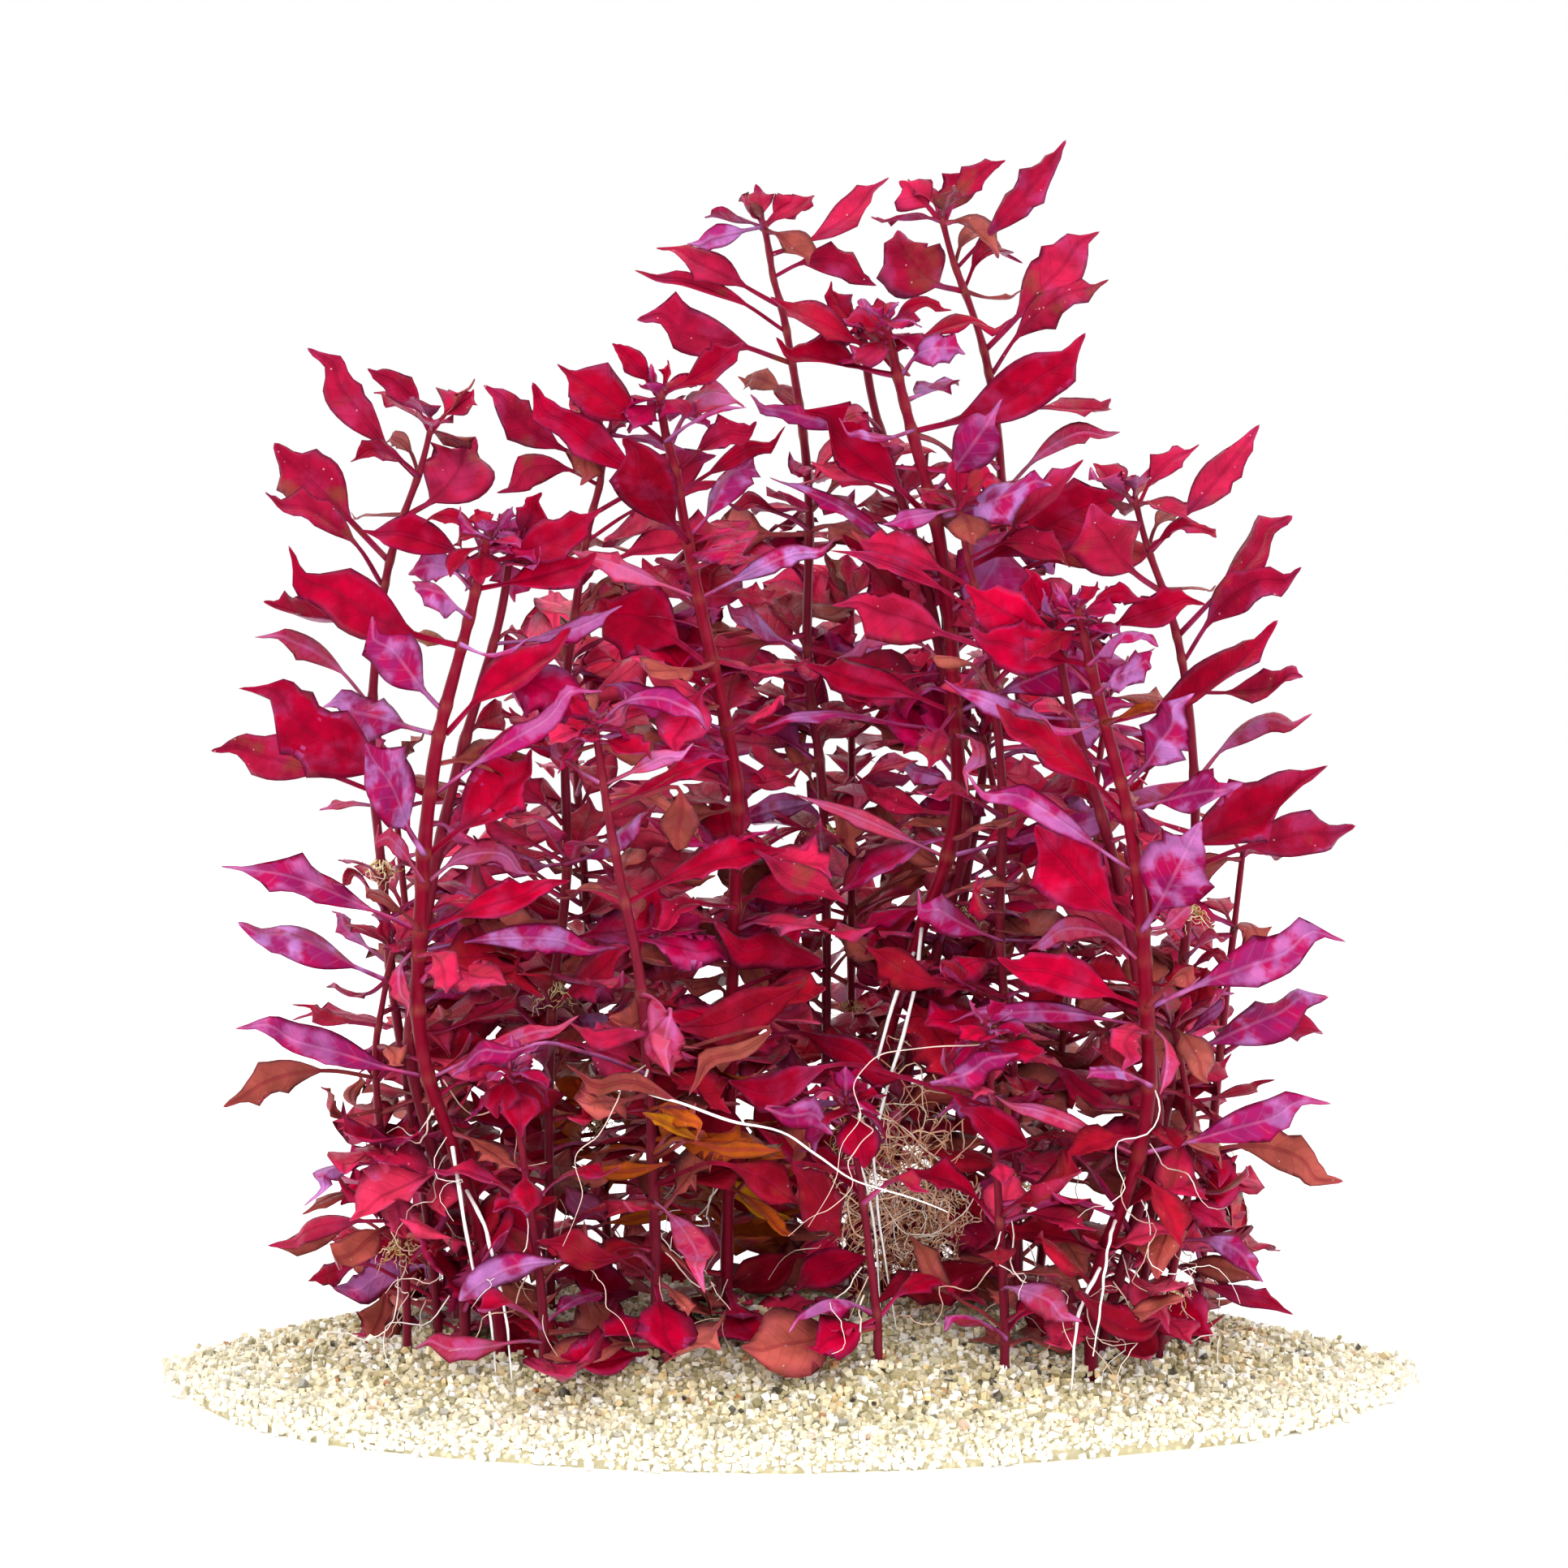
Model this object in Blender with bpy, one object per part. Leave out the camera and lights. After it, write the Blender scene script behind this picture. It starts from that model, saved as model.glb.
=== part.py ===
"""A planted group of super red mini ludwigia: shoots with paired leaves in a low heap of sand.

Frame: +Z up, the front of the plant towards -Y, the origin in the middle of the heap's flat
underside. The tables are in millimetres. They are drawn as the plant is seen from the front, from
a little above: u is millimetres to the right, v is millimetres up, both in the plane through the
origin, and seen_at() turns them into a place in the world for the depth that a shoot stands at.
"""
import math
from dataclasses import dataclass, field

import bmesh
import bpy
import numpy as np
from mathutils import Vector
from mathutils.bvhtree import BVHTree
from mathutils.geometry import intersect_ray_tri

# Driving dimensions, in millimetres unless the name says otherwise
MM = 0.001
VIEW_RISE = math.radians(7.0)
VIEW_DISTANCE = 900.0

MOUND_HALF_LENGTH = 92.0
MOUND_HALF_DEPTH = 56.0
MOUND_HEIGHT = 13.0
MOUND_RIM = 0.8
MOUND_SIDES = 24
MOUND_RINGS = (0.95, 0.82, 0.62, 0.34)
SOCKET_DEPTH = 6.0
SOCKET_GAP = 0.3

THICK_STEM = 1.25
THIN_STEM = 0.85
NODE_HEIGHT = 1.1
NODE_STEP = 17.0
NODE_SPACING = 3.2
LOWEST_SEAT = 2.0
HIGHEST_SEAT = 0.9
SEAT_SHIFTS = (0.0, 0.9, -0.9, 1.8, -1.8, 2.7, -2.7, -3.6, -4.5)
STEM_STEP = 18.0
SHELL_STEP = 3.0

PETIOLE_HALF = 0.42
LEAF_RIDGE = 0.55
LEAF_CUP = 0.1
CLEARANCE = 0.38
OUTWARD_SHARE = 0.42
SAND_GAP = 1.5
DROP_HEIGHT = 17.0
FOOT_HEIGHT = 12.0
OUTSIDE = 0.06
HOLE_SHARE = 0.95

# A leaf's full length, and how it falls off in the crown; a leaf that is drawn shorter points
# towards the front or the back, and the shares are the depths that are tried in turn
FULL_LEAF = 23.0
CROWN_LEAF = 8.0
CROWN_DEPTH = 18.0
DEPTH_SHARES = (1.0, -1.0, 0.75, -0.75, 0.5, -0.5, 0.3, -0.3, 0.12, -0.12, 0.0, 1.3, -1.3)
SIDE_WAYS = ((1.0, 0.0, 0.0), (0.0, 1.0, 0.0), (-1.0, 0.0, 0.0), (0.0, -1.0, 0.0))
CORNER_WAYS = ((1, -1), (1, 1), (-1, 1), (-1, -1))

TANGLE_CENTRE = (17.0, -11.5, 33.0)
TANGLE_HALF = (11.5, 3.2, 22.0)
TANGLE_REACH = 0.92
TANGLE_LEVELS = 7
TANGLE_SIDES = 10

# Sections along a leaf: place along its length, and half width as a share of the blade's width
LONG_LEAF = ((0.25, 0.07), (0.5, 0.46), (0.77, 0.42))
SHORT_LEAF = ((0.28, 0.12), (0.62, 0.5))
SMALL_LEAF = ((0.55, 0.5),)
LONG_LEAF_LENGTH = 17.0
BROAD_LEAF_WIDTH = 5.0
SMALL_LEAF_LENGTH = 9.5
SMALL_LEAF_WIDTH = 3.4
STALK_END = 0.25

COLOURS = {
    "crimson": (0.46, 0.004, 0.035),
    "dusty": (0.40, 0.015, 0.05),
    "violet": (0.36, 0.04, 0.19),
    "pink": (0.50, 0.12, 0.25),
    "brown": (0.26, 0.05, 0.03),
    "rust": (0.34, 0.12, 0.02),
    "root": (0.80, 0.74, 0.70),
    "stem": (0.20, 0.005, 0.02),
    "sand": (0.60, 0.53, 0.38),
}
SAND_ROUGHNESS = 0.8
PLANT_ROUGHNESS = 0.45

# One clump, drawn once. A stem is a list of (v, u); a leaf is its kind, the height of its base on
# the stem, the middle of its curve, its tip, and the width of its blade.
FRONT_STEM = ((158.2, 14.6), (152.0, 16.1), (146.5, 17.4), (138.5, 19.6), (128.8, 22.4),
              (119.6, 23.8), (110.3, 24.8), (99.6, 25.3), (90.4, 25.9), (84.7, 25.3), (78.4, 24.2),
              (72.4, 21.6), (65.3, 19.3), (59.4, 17.3), (45.0, 13.4), (30.0, 11.4), (12.0, 10.6))
FRONT_LEAVES = (
    ("crimson", 153.4, (6.0, 156.2), (-2.0, 161.2), 6.2),
    ("crimson", 149.8, (7.0, 151.8), (-1.2, 155.0), 6.5),
    ("violet", 155.6, (8.9, 156.4), (5.0, 157.5), 2.4),
    ("violet", 151.6, (10.6, 153.2), (6.4, 153.9), 1.8),
    ("crimson", 157.0, (19.6, 159.8), (24.6, 159.0), 2.8),
    ("crimson", 153.4, (24.0, 156.8), (33.6, 158.2), 5.0),
    ("violet", 149.8, (21.0, 152.8), (26.6, 152.0), 5.2),
    ("violet", 145.6, (21.0, 147.5), (25.6, 149.0), 5.4),
    ("violet", 157.0, (12.4, 159.2), (11.2, 161.2), 2.0),
    ("violet", 155.6, (18.0, 158.4), (18.9, 161.2), 2.2),
    ("rust", 141.6, (22.8, 142.6), (27.2, 144.6), 2.0),
    ("crimson", 138.9, (31.0, 145.3), (44.2, 156.0), 7.2),
    ("violet", 138.9, (13.5, 140.0), (8.0, 142.5), 1.4),
    ("crimson", 129.0, (14.0, 135.6), (2.6, 144.2), 8.2),
    ("violet", 129.0, (30.0, 130.6), (39.4, 132.8), 5.8),
    ("violet", 131.0, (27.2, 138.2), (32.0, 145.5), 6.2),
    ("violet", 120.5, (10.0, 128.6), (-2.2, 134.9), 3.8),
    ("crimson", 120.5, (36.5, 126.4), (51.8, 135.3), 8.8),
    ("violet", 111.8, (28.8, 118.6), (33.2, 127.4), 9.4),
    ("crimson", 111.8, (15.5, 118.4), (8.6, 126.8), 9.0),
    ("pink", 109.6, (28.5, 112.4), (31.3, 116.0), 3.2),
    ("pink", 107.6, (17.0, 111.6), (7.6, 108.4), 3.6),
    ("crimson", 100.8, (14.0, 104.4), (3.0, 107.6), 5.6),
    ("violet", 100.8, (38.0, 105.6), (54.8, 109.8), 6.2),
    ("brown", 103.0, (29.5, 104.6), (33.2, 105.6), 3.4),
    ("dusty", 98.8, (22.8, 97.0), (21.4, 92.0), 4.4),
    ("pink", 98.8, (28.2, 95.4), (27.3, 88.0), 2.4),
    ("violet", 89.2, (22.0, 91.0), (16.4, 91.0), 3.2),
    ("pink", 79.4, (13.5, 83.8), (1.7, 88.3), 2.6),
    ("violet", 79.4, (38.5, 82.4), (52.9, 86.3), 5.4),
)
SECOND_STEM = ((157.0, 11.6), (152.0, 11.9), (145.8, 13.0), (138.6, 15.1), (129.0, 18.2),
               (114.6, 22.0), (106.2, 23.7), (98.0, 25.1), (90.0, 26.6), (82.0, 27.2),
               (74.0, 25.6), (66.0, 22.8), (52.0, 19.0), (30.0, 16.0), (12.0, 15.2))
SECOND_LEAVES = (
    ("violet", 156.0, (14.2, 158.4), (16.2, 160.6), 2.2),
    ("violet", 156.0, (9.8, 158.0), (9.4, 160.6), 2.0),
    ("crimson", 153.0, (8.6, 159.6), (6.9, 163.7), 4.4),
    ("violet", 142.0, (3.4, 143.6), (-5.0, 147.6), 3.2),
    ("dusty", 142.0, (11.6, 143.6), (8.6, 142.2), 2.6),
    ("crimson", 128.0, (15.4, 131.0), (10.4, 131.4), 4.2),
    ("violet", 97.6, (12.0, 99.2), (-4.3, 97.7), 3.6),
    ("dusty", 85.4, (18.0, 86.6), (10.5, 91.4), 3.4),
)
TALL_STEM = ((174.4, 22.9), (169.4, 24.1), (166.3, 25.1), (162.4, 26.6), (160.2, 27.5),
             (156.8, 28.5), (154.1, 29.4), (148.0, 30.6), (137.5, 31.9), (126.0, 32.4),
             (116.0, 31.6), (106.6, 30.6), (95.6, 29.9), (84.7, 28.6), (75.0, 26.9), (60.0, 24.6),
             (36.0, 22.6), (12.0, 22.0))
TALL_LEAVES = (
    ("dusty", 173.4, (20.0, 176.4), (16.8, 179.2), 6.6),
    ("dusty", 173.4, (26.8, 178.4), (32.4, 181.9), 3.8),
    ("dusty", 171.4, (20.4, 177.8), (18.2, 181.0), 3.0),
    ("dusty", 166.6, (31.8, 173.2), (41.2, 184.8), 5.0),
    ("brown", 168.6, (26.8, 171.2), (29.8, 171.9), 2.4),
    ("crimson", 164.8, (30.5, 169.8), (35.0, 168.0), 4.0),
    ("dusty", 160.8, (20.8, 165.2), (16.6, 172.8), 9.6),
    ("brown", 160.8, (31.5, 161.2), (35.0, 162.0), 1.0),
    ("dusty", 154.6, (38.2, 163.2), (46.2, 171.4), 7.6),
    ("dusty", 152.8, (39.5, 161.0), (47.6, 163.8), 5.2),
    ("dusty", 146.0, (40.5, 146.0), (48.0, 147.9), 4.8),
    ("pink", 133.8, (41.0, 141.0), (49.4, 142.8), 3.4),
    ("dusty", 120.8, (41.0, 123.8), (56.0, 126.5), 5.8),
    ("pink", 107.4, (34.0, 109.9), (37.4, 110.7), 1.8),
    ("pink", 107.4, (28.4, 109.4), (26.6, 108.4), 1.8),
    ("crimson", 105.4, (34.4, 107.9), (38.0, 107.4), 1.8),
    ("violet", 95.0, (34.8, 98.8), (38.4, 102.6), 2.4),
)
LEANING_STEM = ((173.6, -3.0), (168.2, -2.0), (165.0, -1.6), (160.6, -0.2), (152.8, 1.2),
             (145.9, 2.3), (136.3, 3.6), (124.4, 3.8), (111.2, 3.3), (103.0, 3.8), (94.9, 5.2),
             (82.9, 6.1), (60.0, 6.4), (36.0, 6.0), (12.0, 5.4))
LEANING_LEAVES = (
    ("dusty", 172.9, (-0.4, 175.8), (2.4, 176.9), 3.8),
    ("dusty", 172.9, (-4.4, 174.6), (-5.6, 175.8), 2.0),
    ("violet", 170.8, (-8.0, 171.8), (-14.2, 170.4), 3.2),
    ("dusty", 168.8, (5.8, 171.6), (15.4, 179.8), 5.0),
    ("dusty", 165.6, (5.6, 168.0), (13.6, 164.2), 4.6),
    ("dusty", 161.4, (-9.5, 165.9), (-18.8, 169.8), 5.8),
    ("dusty", 159.4, (-13.0, 164.6), (-21.9, 166.6), 2.2),
    ("dusty", 152.8, (-10.5, 156.2), (-21.6, 158.8), 7.0),
    ("brown", 146.4, (-2.2, 150.2), (-6.8, 151.8), 3.2),
    ("crimson", 144.4, (0.3, 148.4), (-2.0, 150.6), 2.6),
    ("dusty", 128.0, (-1.4, 130.8), (-9.0, 131.6), 2.8),
    ("violet", 109.8, (-3.5, 112.8), (-8.8, 117.6), 4.6),
    ("crimson", 112.0, (0.8, 115.0), (0.2, 119.8), 5.4),
    ("violet", 108.2, (11.0, 109.9), (16.0, 112.6), 3.6),
    ("crimson", 101.4, (-2.0, 103.6), (-5.2, 105.6), 4.0),
    ("dusty", 93.6, (-0.4, 92.4), (-4.8, 94.8), 4.6),
    ("violet", 87.4, (0.8, 86.2), (-6.0, 84.4), 3.0),
)
SIDE_STEM = ((98.4, 29.0), (94.9, 29.9), (88.2, 31.2), (82.9, 32.2), (75.8, 31.9), (68.9, 31.2),
             (63.6, 29.9), (58.2, 28.6), (48.0, 27.6), (30.0, 27.0), (12.0, 27.0))
SIDE_LEAVES = (
    ("dusty", 97.4, (30.4, 99.6), (31.6, 102.0), 1.8),
    ("dusty", 97.4, (27.6, 99.4), (26.4, 101.0), 1.8),
    ("violet", 93.2, (38.0, 96.2), (52.3, 101.6), 6.4),
    ("dusty", 90.2, (34.4, 90.8), (38.0, 93.0), 4.0),
    ("crimson", 86.4, (38.5, 87.2), (44.5, 89.0), 2.4),
    ("brown", 78.8, (44.0, 79.4), (54.8, 74.5), 4.6),
    ("brown", 74.0, (35.4, 74.8), (34.6, 78.4), 1.8),
    ("brown", 71.8, (37.6, 73.8), (40.2, 78.2), 2.2),
    ("violet", 66.2, (37.5, 65.8), (43.0, 61.0), 3.2),
    ("brown", 61.2, (37.0, 61.8), (43.2, 59.6), 3.0),
    ("dusty", 58.6, (38.0, 56.8), (48.4, 53.3), 3.4),
    ("brown", 55.4, (33.0, 55.6), (37.6, 51.6), 4.8),
)

# Shoots that stand alone in the middle of the group
INNER_STEM = ((147.4, -18.3), (140.6, -17.5), (137.0, -16.3), (131.8, -15.4), (125.4, -14.2),
              (116.8, -12.6), (112.4, -11.6), (106.8, -10.4), (99.8, -8.8), (92.0, -7.2),
              (84.7, -6.8), (72.4, -7.3), (50.0, -8.0), (30.0, -8.4), (12.0, -8.6))
INNER_LEAVES = (
    ("crimson", 146.6, (-21.0, 149.6), (-25.2, 153.6), 3.6),
    ("crimson", 146.6, (-12.6, 149.0), (-6.0, 153.6), 5.0),
    ("crimson", 139.6, (-24.5, 144.6), (-33.3, 150.6), 7.2),
    ("pink", 142.4, (-12.0, 145.2), (-5.8, 144.6), 6.4),
    ("violet", 139.6, (-12.6, 142.4), (-5.4, 143.9), 1.6),
    ("dusty", 137.6, (-10.0, 139.8), (-4.0, 142.0), 4.2),
    ("crimson", 132.6, (-27.5, 138.8), (-36.9, 147.9), 4.9),
    ("crimson", 132.6, (-8.6, 136.6), (0.2, 142.3), 2.8),
    ("crimson", 125.2, (-19.0, 130.8), (-23.6, 139.4), 7.4),
    ("violet", 125.2, (-9.4, 131.6), (-4.6, 138.6), 5.4),
    ("dusty", 121.4, (-9.2, 122.0), (-5.2, 122.0), 2.6),
    ("pink", 117.2, (-23.0, 120.6), (-31.2, 123.4), 4.2),
    ("violet", 117.2, (-2.4, 121.8), (8.0, 126.0), 3.0),
    ("dusty", 115.4, (-6.0, 117.6), (-1.2, 118.6), 3.6),
    ("crimson", 107.6, (-18.4, 112.4), (-27.3, 117.0), 10.0),
    ("dusty", 104.6, (-3.0, 106.8), (4.0, 108.6), 2.2),
    ("brown", 104.6, (-14.6, 106.0), (-20.6, 107.4), 6.8),
    ("violet", 98.0, (-18.0, 101.0), (-27.0, 104.2), 4.2),
    ("dusty", 98.0, (-4.4, 99.6), (0.0, 101.0), 3.2),
    ("crimson", 90.0, (-2.8, 90.4), (2.6, 92.4), 3.6),
    ("brown", 86.4, (-12.0, 85.4), (-18.6, 87.6), 5.0),
    ("crimson", 72.0, (-1.0, 74.6), (6.4, 73.6), 5.0),
    ("dusty", 72.0, (-13.4, 72.4), (-19.6, 69.2), 4.4),
    ("rust", 38.6, (-4.0, 39.4), (-0.6, 38.0), 2.6),
    ("rust", 31.4, (-4.8, 28.6), (1.6, 24.8), 2.8),
)
LOW_STEM = ((99.4, -28.1), (94.6, -27.4), (90.0, -26.7), (84.7, -25.9), (80.0, -25.0),
            (74.2, -23.9), (67.1, -22.2), (59.6, -21.0), (40.0, -19.6), (24.0, -19.2),
            (12.0, -19.0))
LOW_LEAVES = (
    ("violet", 98.2, (-21.5, 102.2), (-11.2, 97.4), 3.6),
    ("violet", 98.2, (-33.0, 101.0), (-37.0, 100.0), 3.2),
    ("pink", 96.2, (-25.4, 98.8), (-23.6, 103.2), 3.0),
    ("dusty", 96.2, (-30.8, 97.6), (-34.6, 95.4), 3.2),
    ("pink", 90.0, (-19.8, 92.8), (-13.3, 95.7), 2.4),
    ("crimson", 87.6, (-18.0, 90.4), (-8.0, 93.4), 4.4),
    ("pink", 90.0, (-31.4, 92.4), (-36.2, 97.0), 2.2),
    ("dusty", 80.4, (-29.0, 81.4), (-32.4, 79.6), 3.6),
    ("crimson", 73.0, (-12.6, 77.6), (0.7, 80.2), 6.4),
    ("brown", 73.0, (-28.4, 74.6), (-34.0, 73.0), 3.0),
    ("pink", 59.4, (-18.2, 57.6), (-17.0, 48.6), 5.4),
    ("rust", 43.0, (-17.0, 43.4), (-13.2, 39.2), 2.8),
    ("rust", 36.4, (-24.8, 36.8), (-31.0, 34.8), 2.6),
    ("crimson", 29.4, (-25.4, 28.4), (-32.2, 25.2), 3.6),
    ("pink", 27.0, (-14.4, 25.0), (-11.8, 17.6), 4.8),
)

# White roots that hang from a stem's node down to the sand: their points, top to bottom
FRONT_ROOTS = (
    ((63.6, 18.4), (56.0, 15.6), (47.0, 13.2), (40.3, 11.0), (36.4, 10.8), (31.0, 12.4), (13.6, 14.6)),
    ((66.0, 20.2), (58.2, 19.0), (51.5, 17.2), (43.0, 14.6), (37.0, 13.4), (30.0, 13.8), (13.6, 16.8)),
)
COPY_ROOTS = (
    ((68.6, 20.6), (60.1, 19.2), (51.5, 17.6), (46.4, 15.6), (40.0, 14.4)),
    ((62.0, 17.8), (57.0, 15.6), (51.5, 14.4), (46.8, 13.2), (40.0, 12.0)),
)


@dataclass(frozen=True)
class Clump:
    """Where one copy of the drawn clump stands: its shift, its mirror line and its depth."""

    name: str
    across: float
    up: float
    mirrored: bool
    depth: float
    lean: float


CLUMPS = (
    Clump("right", 28.6, -42.8, False, -23.0, 0.02),
    Clump("left", -28.7, -31.8, True, -20.0, 0.03),
    Clump("centre", 0.0, 0.0, False, 0.0, 0.02),
)

# The five shoots of a clump: name, stem, leaves, depth behind the clump's own, stem half width
CLUMP_SHOOTS = (
    ("front_shoot", FRONT_STEM, FRONT_LEAVES, -5.0, THICK_STEM),
    ("second_shoot", SECOND_STEM, SECOND_LEAVES, 1.0, 1.05),
    ("side_shoot", SIDE_STEM, SIDE_LEAVES, 3.0, 0.8),
    ("tall_shoot", TALL_STEM, TALL_LEAVES, 8.0, THIN_STEM),
    ("leaning_shoot", LEANING_STEM, LEANING_LEAVES, 13.0, THIN_STEM),
)

# The two shoots between the clumps: name, stem, leaves, depth, stem half width
LONE_SHOOTS = (
    ("low_shoot", LOW_STEM, LOW_LEAVES, -27.0, 1.0),
    ("inner_shoot", INNER_STEM, INNER_LEAVES, -13.0, 1.15),
)
LONE_LEAN = 0.02

# How far in front of the stem's foot the white roots of each front shoot hang
ROOTS_BEFORE = {"right": 5.0, "left": 5.0, "centre": 11.0}

# Shoots grown by rule: foot (u, depth), top (u, v), first leaf length
GROWN_SHOOTS = (
    ("young_shoot_1", (-36.0, -31.0), (-41.0, 50.0), 15.0),
    ("young_shoot_2", (14.0, -31.0), (9.0, 46.0), 15.0),
    ("young_shoot_3", (33.0, -31.0), (30.0, 56.0), 15.0),
    ("back_shoot_1", (-52.0, 16.0), (-58.0, 92.0), 19.0),
    ("back_shoot_2", (-26.0, 30.0), (-32.0, 108.0), 20.0),
    ("back_shoot_3", (10.0, 33.0), (10.0, 118.0), 20.0),
    ("back_shoot_4", (38.0, 27.0), (48.0, 104.0), 20.0),
    ("back_shoot_5", (62.0, 12.0), (68.0, 80.0), 18.0),
)


def seen_at(u, v, depth):
    """The world place, in mm, of a point drawn at (u, v) that lies at the given depth."""
    return np.array((
        u * (1.0 + depth / VIEW_DISTANCE),
        depth,
        (v - depth * math.sin(VIEW_RISE)) / math.cos(VIEW_RISE),
    ))


def unit(vector):
    """The vector at length 1."""
    return vector / np.linalg.norm(vector)


def mound_height(x, y):
    """Height of the sand at a place: a low dome that falls off faster near its rim."""
    reach = math.hypot(x / MOUND_HALF_LENGTH, y / MOUND_HALF_DEPTH)
    return MOUND_RIM + (MOUND_HEIGHT - MOUND_RIM) * max(0.0, 1.0 - reach ** 2.2)


@dataclass
class Leaf:
    """A leaf or a hanging root: three points of its curve, its width, and how its blade faces."""

    kind: str
    height: float
    middle: np.ndarray
    tip: np.ndarray
    width: float
    face: np.ndarray
    roll: float
    wanted: float = None
    base: np.ndarray = None
    half: float = 0.0
    side: int = 0
    route: list = field(default_factory=list)

    def curve(self, t):
        """A point on the smooth curve through the base, the middle and the tip."""
        first = np.linalg.norm(self.middle - self.base)
        second = np.linalg.norm(self.tip - self.middle)
        m = min(0.7, max(0.3, first / (first + second)))
        return (self.base * (t - m) * (t - 1.0) / m
                + self.middle * t * (t - 1.0) / (m * (m - 1.0))
                + self.tip * t * (t - m) / (1.0 - m))

    def across(self, t):
        """The unit vectors across the blade and out of its upper side, at a place along it."""
        along = unit(self.curve(min(1.0, t + 0.02)) - self.curve(max(0.0, t - 0.02)))
        sideways = unit(np.cross(along, self.face))
        upward = np.cross(sideways, along)
        turned = sideways * math.cos(self.roll) + upward * math.sin(self.roll)
        return turned, np.cross(turned, along)

    def outward(self):
        """The direction straight out of the side of the stem that the leaf grows on."""
        return np.array(SIDE_WAYS[self.side])

    def lowest_gap(self):
        """How far the blade stays above the sand; a hanging root may reach it."""
        if self.route:
            return SOCKET_DEPTH
        return min(point[2] - mound_height(point[0], point[1]) for point in (self.tip, self.curve(0.7)))

    def length(self):
        """The length of the curve, nearly."""
        return np.linalg.norm(self.middle - self.base) + np.linalg.norm(self.tip - self.middle)

    def sections(self, swell=0.0):
        """Triangular sections from the stalk to the tip; swell makes them larger all round."""
        if self.route:
            return self.root_sections(swell)
        length = self.length()
        small = length < SMALL_LEAF_LENGTH and self.width < SMALL_LEAF_WIDTH
        plan = SMALL_LEAF if small else SHORT_LEAF
        if length > LONG_LEAF_LENGTH and self.width > BROAD_LEAF_WIDTH:
            plan = LONG_LEAF
        rings = []
        for t, share in plan:
            centre = self.curve(t)
            turned, upward = self.across(t)
            half = max(PETIOLE_HALF, share * self.width) + swell
            cup = LEAF_CUP * half + swell
            rings.append([centre - turned * half + upward * cup,
                          centre - upward * (LEAF_RIDGE + swell),
                          centre + turned * half + upward * cup])
        return rings, self.tip + swell * unit(self.tip - self.curve(0.9))

    def root_sections(self, swell):
        """Sections of a hanging root, the same size all along."""
        rings = []
        for number, point in enumerate(self.route):
            nearby = self.route[min(number + 1, len(self.route) - 1)]
            before = self.route[number - 1] if number else self.base
            along = unit(nearby - before)
            sideways = unit(np.cross(along, (0.0, -1.0, 0.0)))
            upward = np.cross(sideways, along)
            reach = self.width + swell
            rings.append([point + reach * (-0.87 * sideways + 0.5 * upward),
                          point - reach * upward,
                          point + reach * (0.87 * sideways + 0.5 * upward)])
        return rings, self.tip


def smooth_line(points, rounds=2):
    """Corners cut from a line of points, the ends kept."""
    line = np.array(points, float)
    for _ in range(rounds):
        near = line[:-1] * 0.75 + line[1:] * 0.25
        far = line[:-1] * 0.25 + line[1:] * 0.75
        line = np.vstack((line[:1], np.stack((near, far), 1).reshape(-1, line.shape[1]), line[-1:]))
    return line


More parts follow.
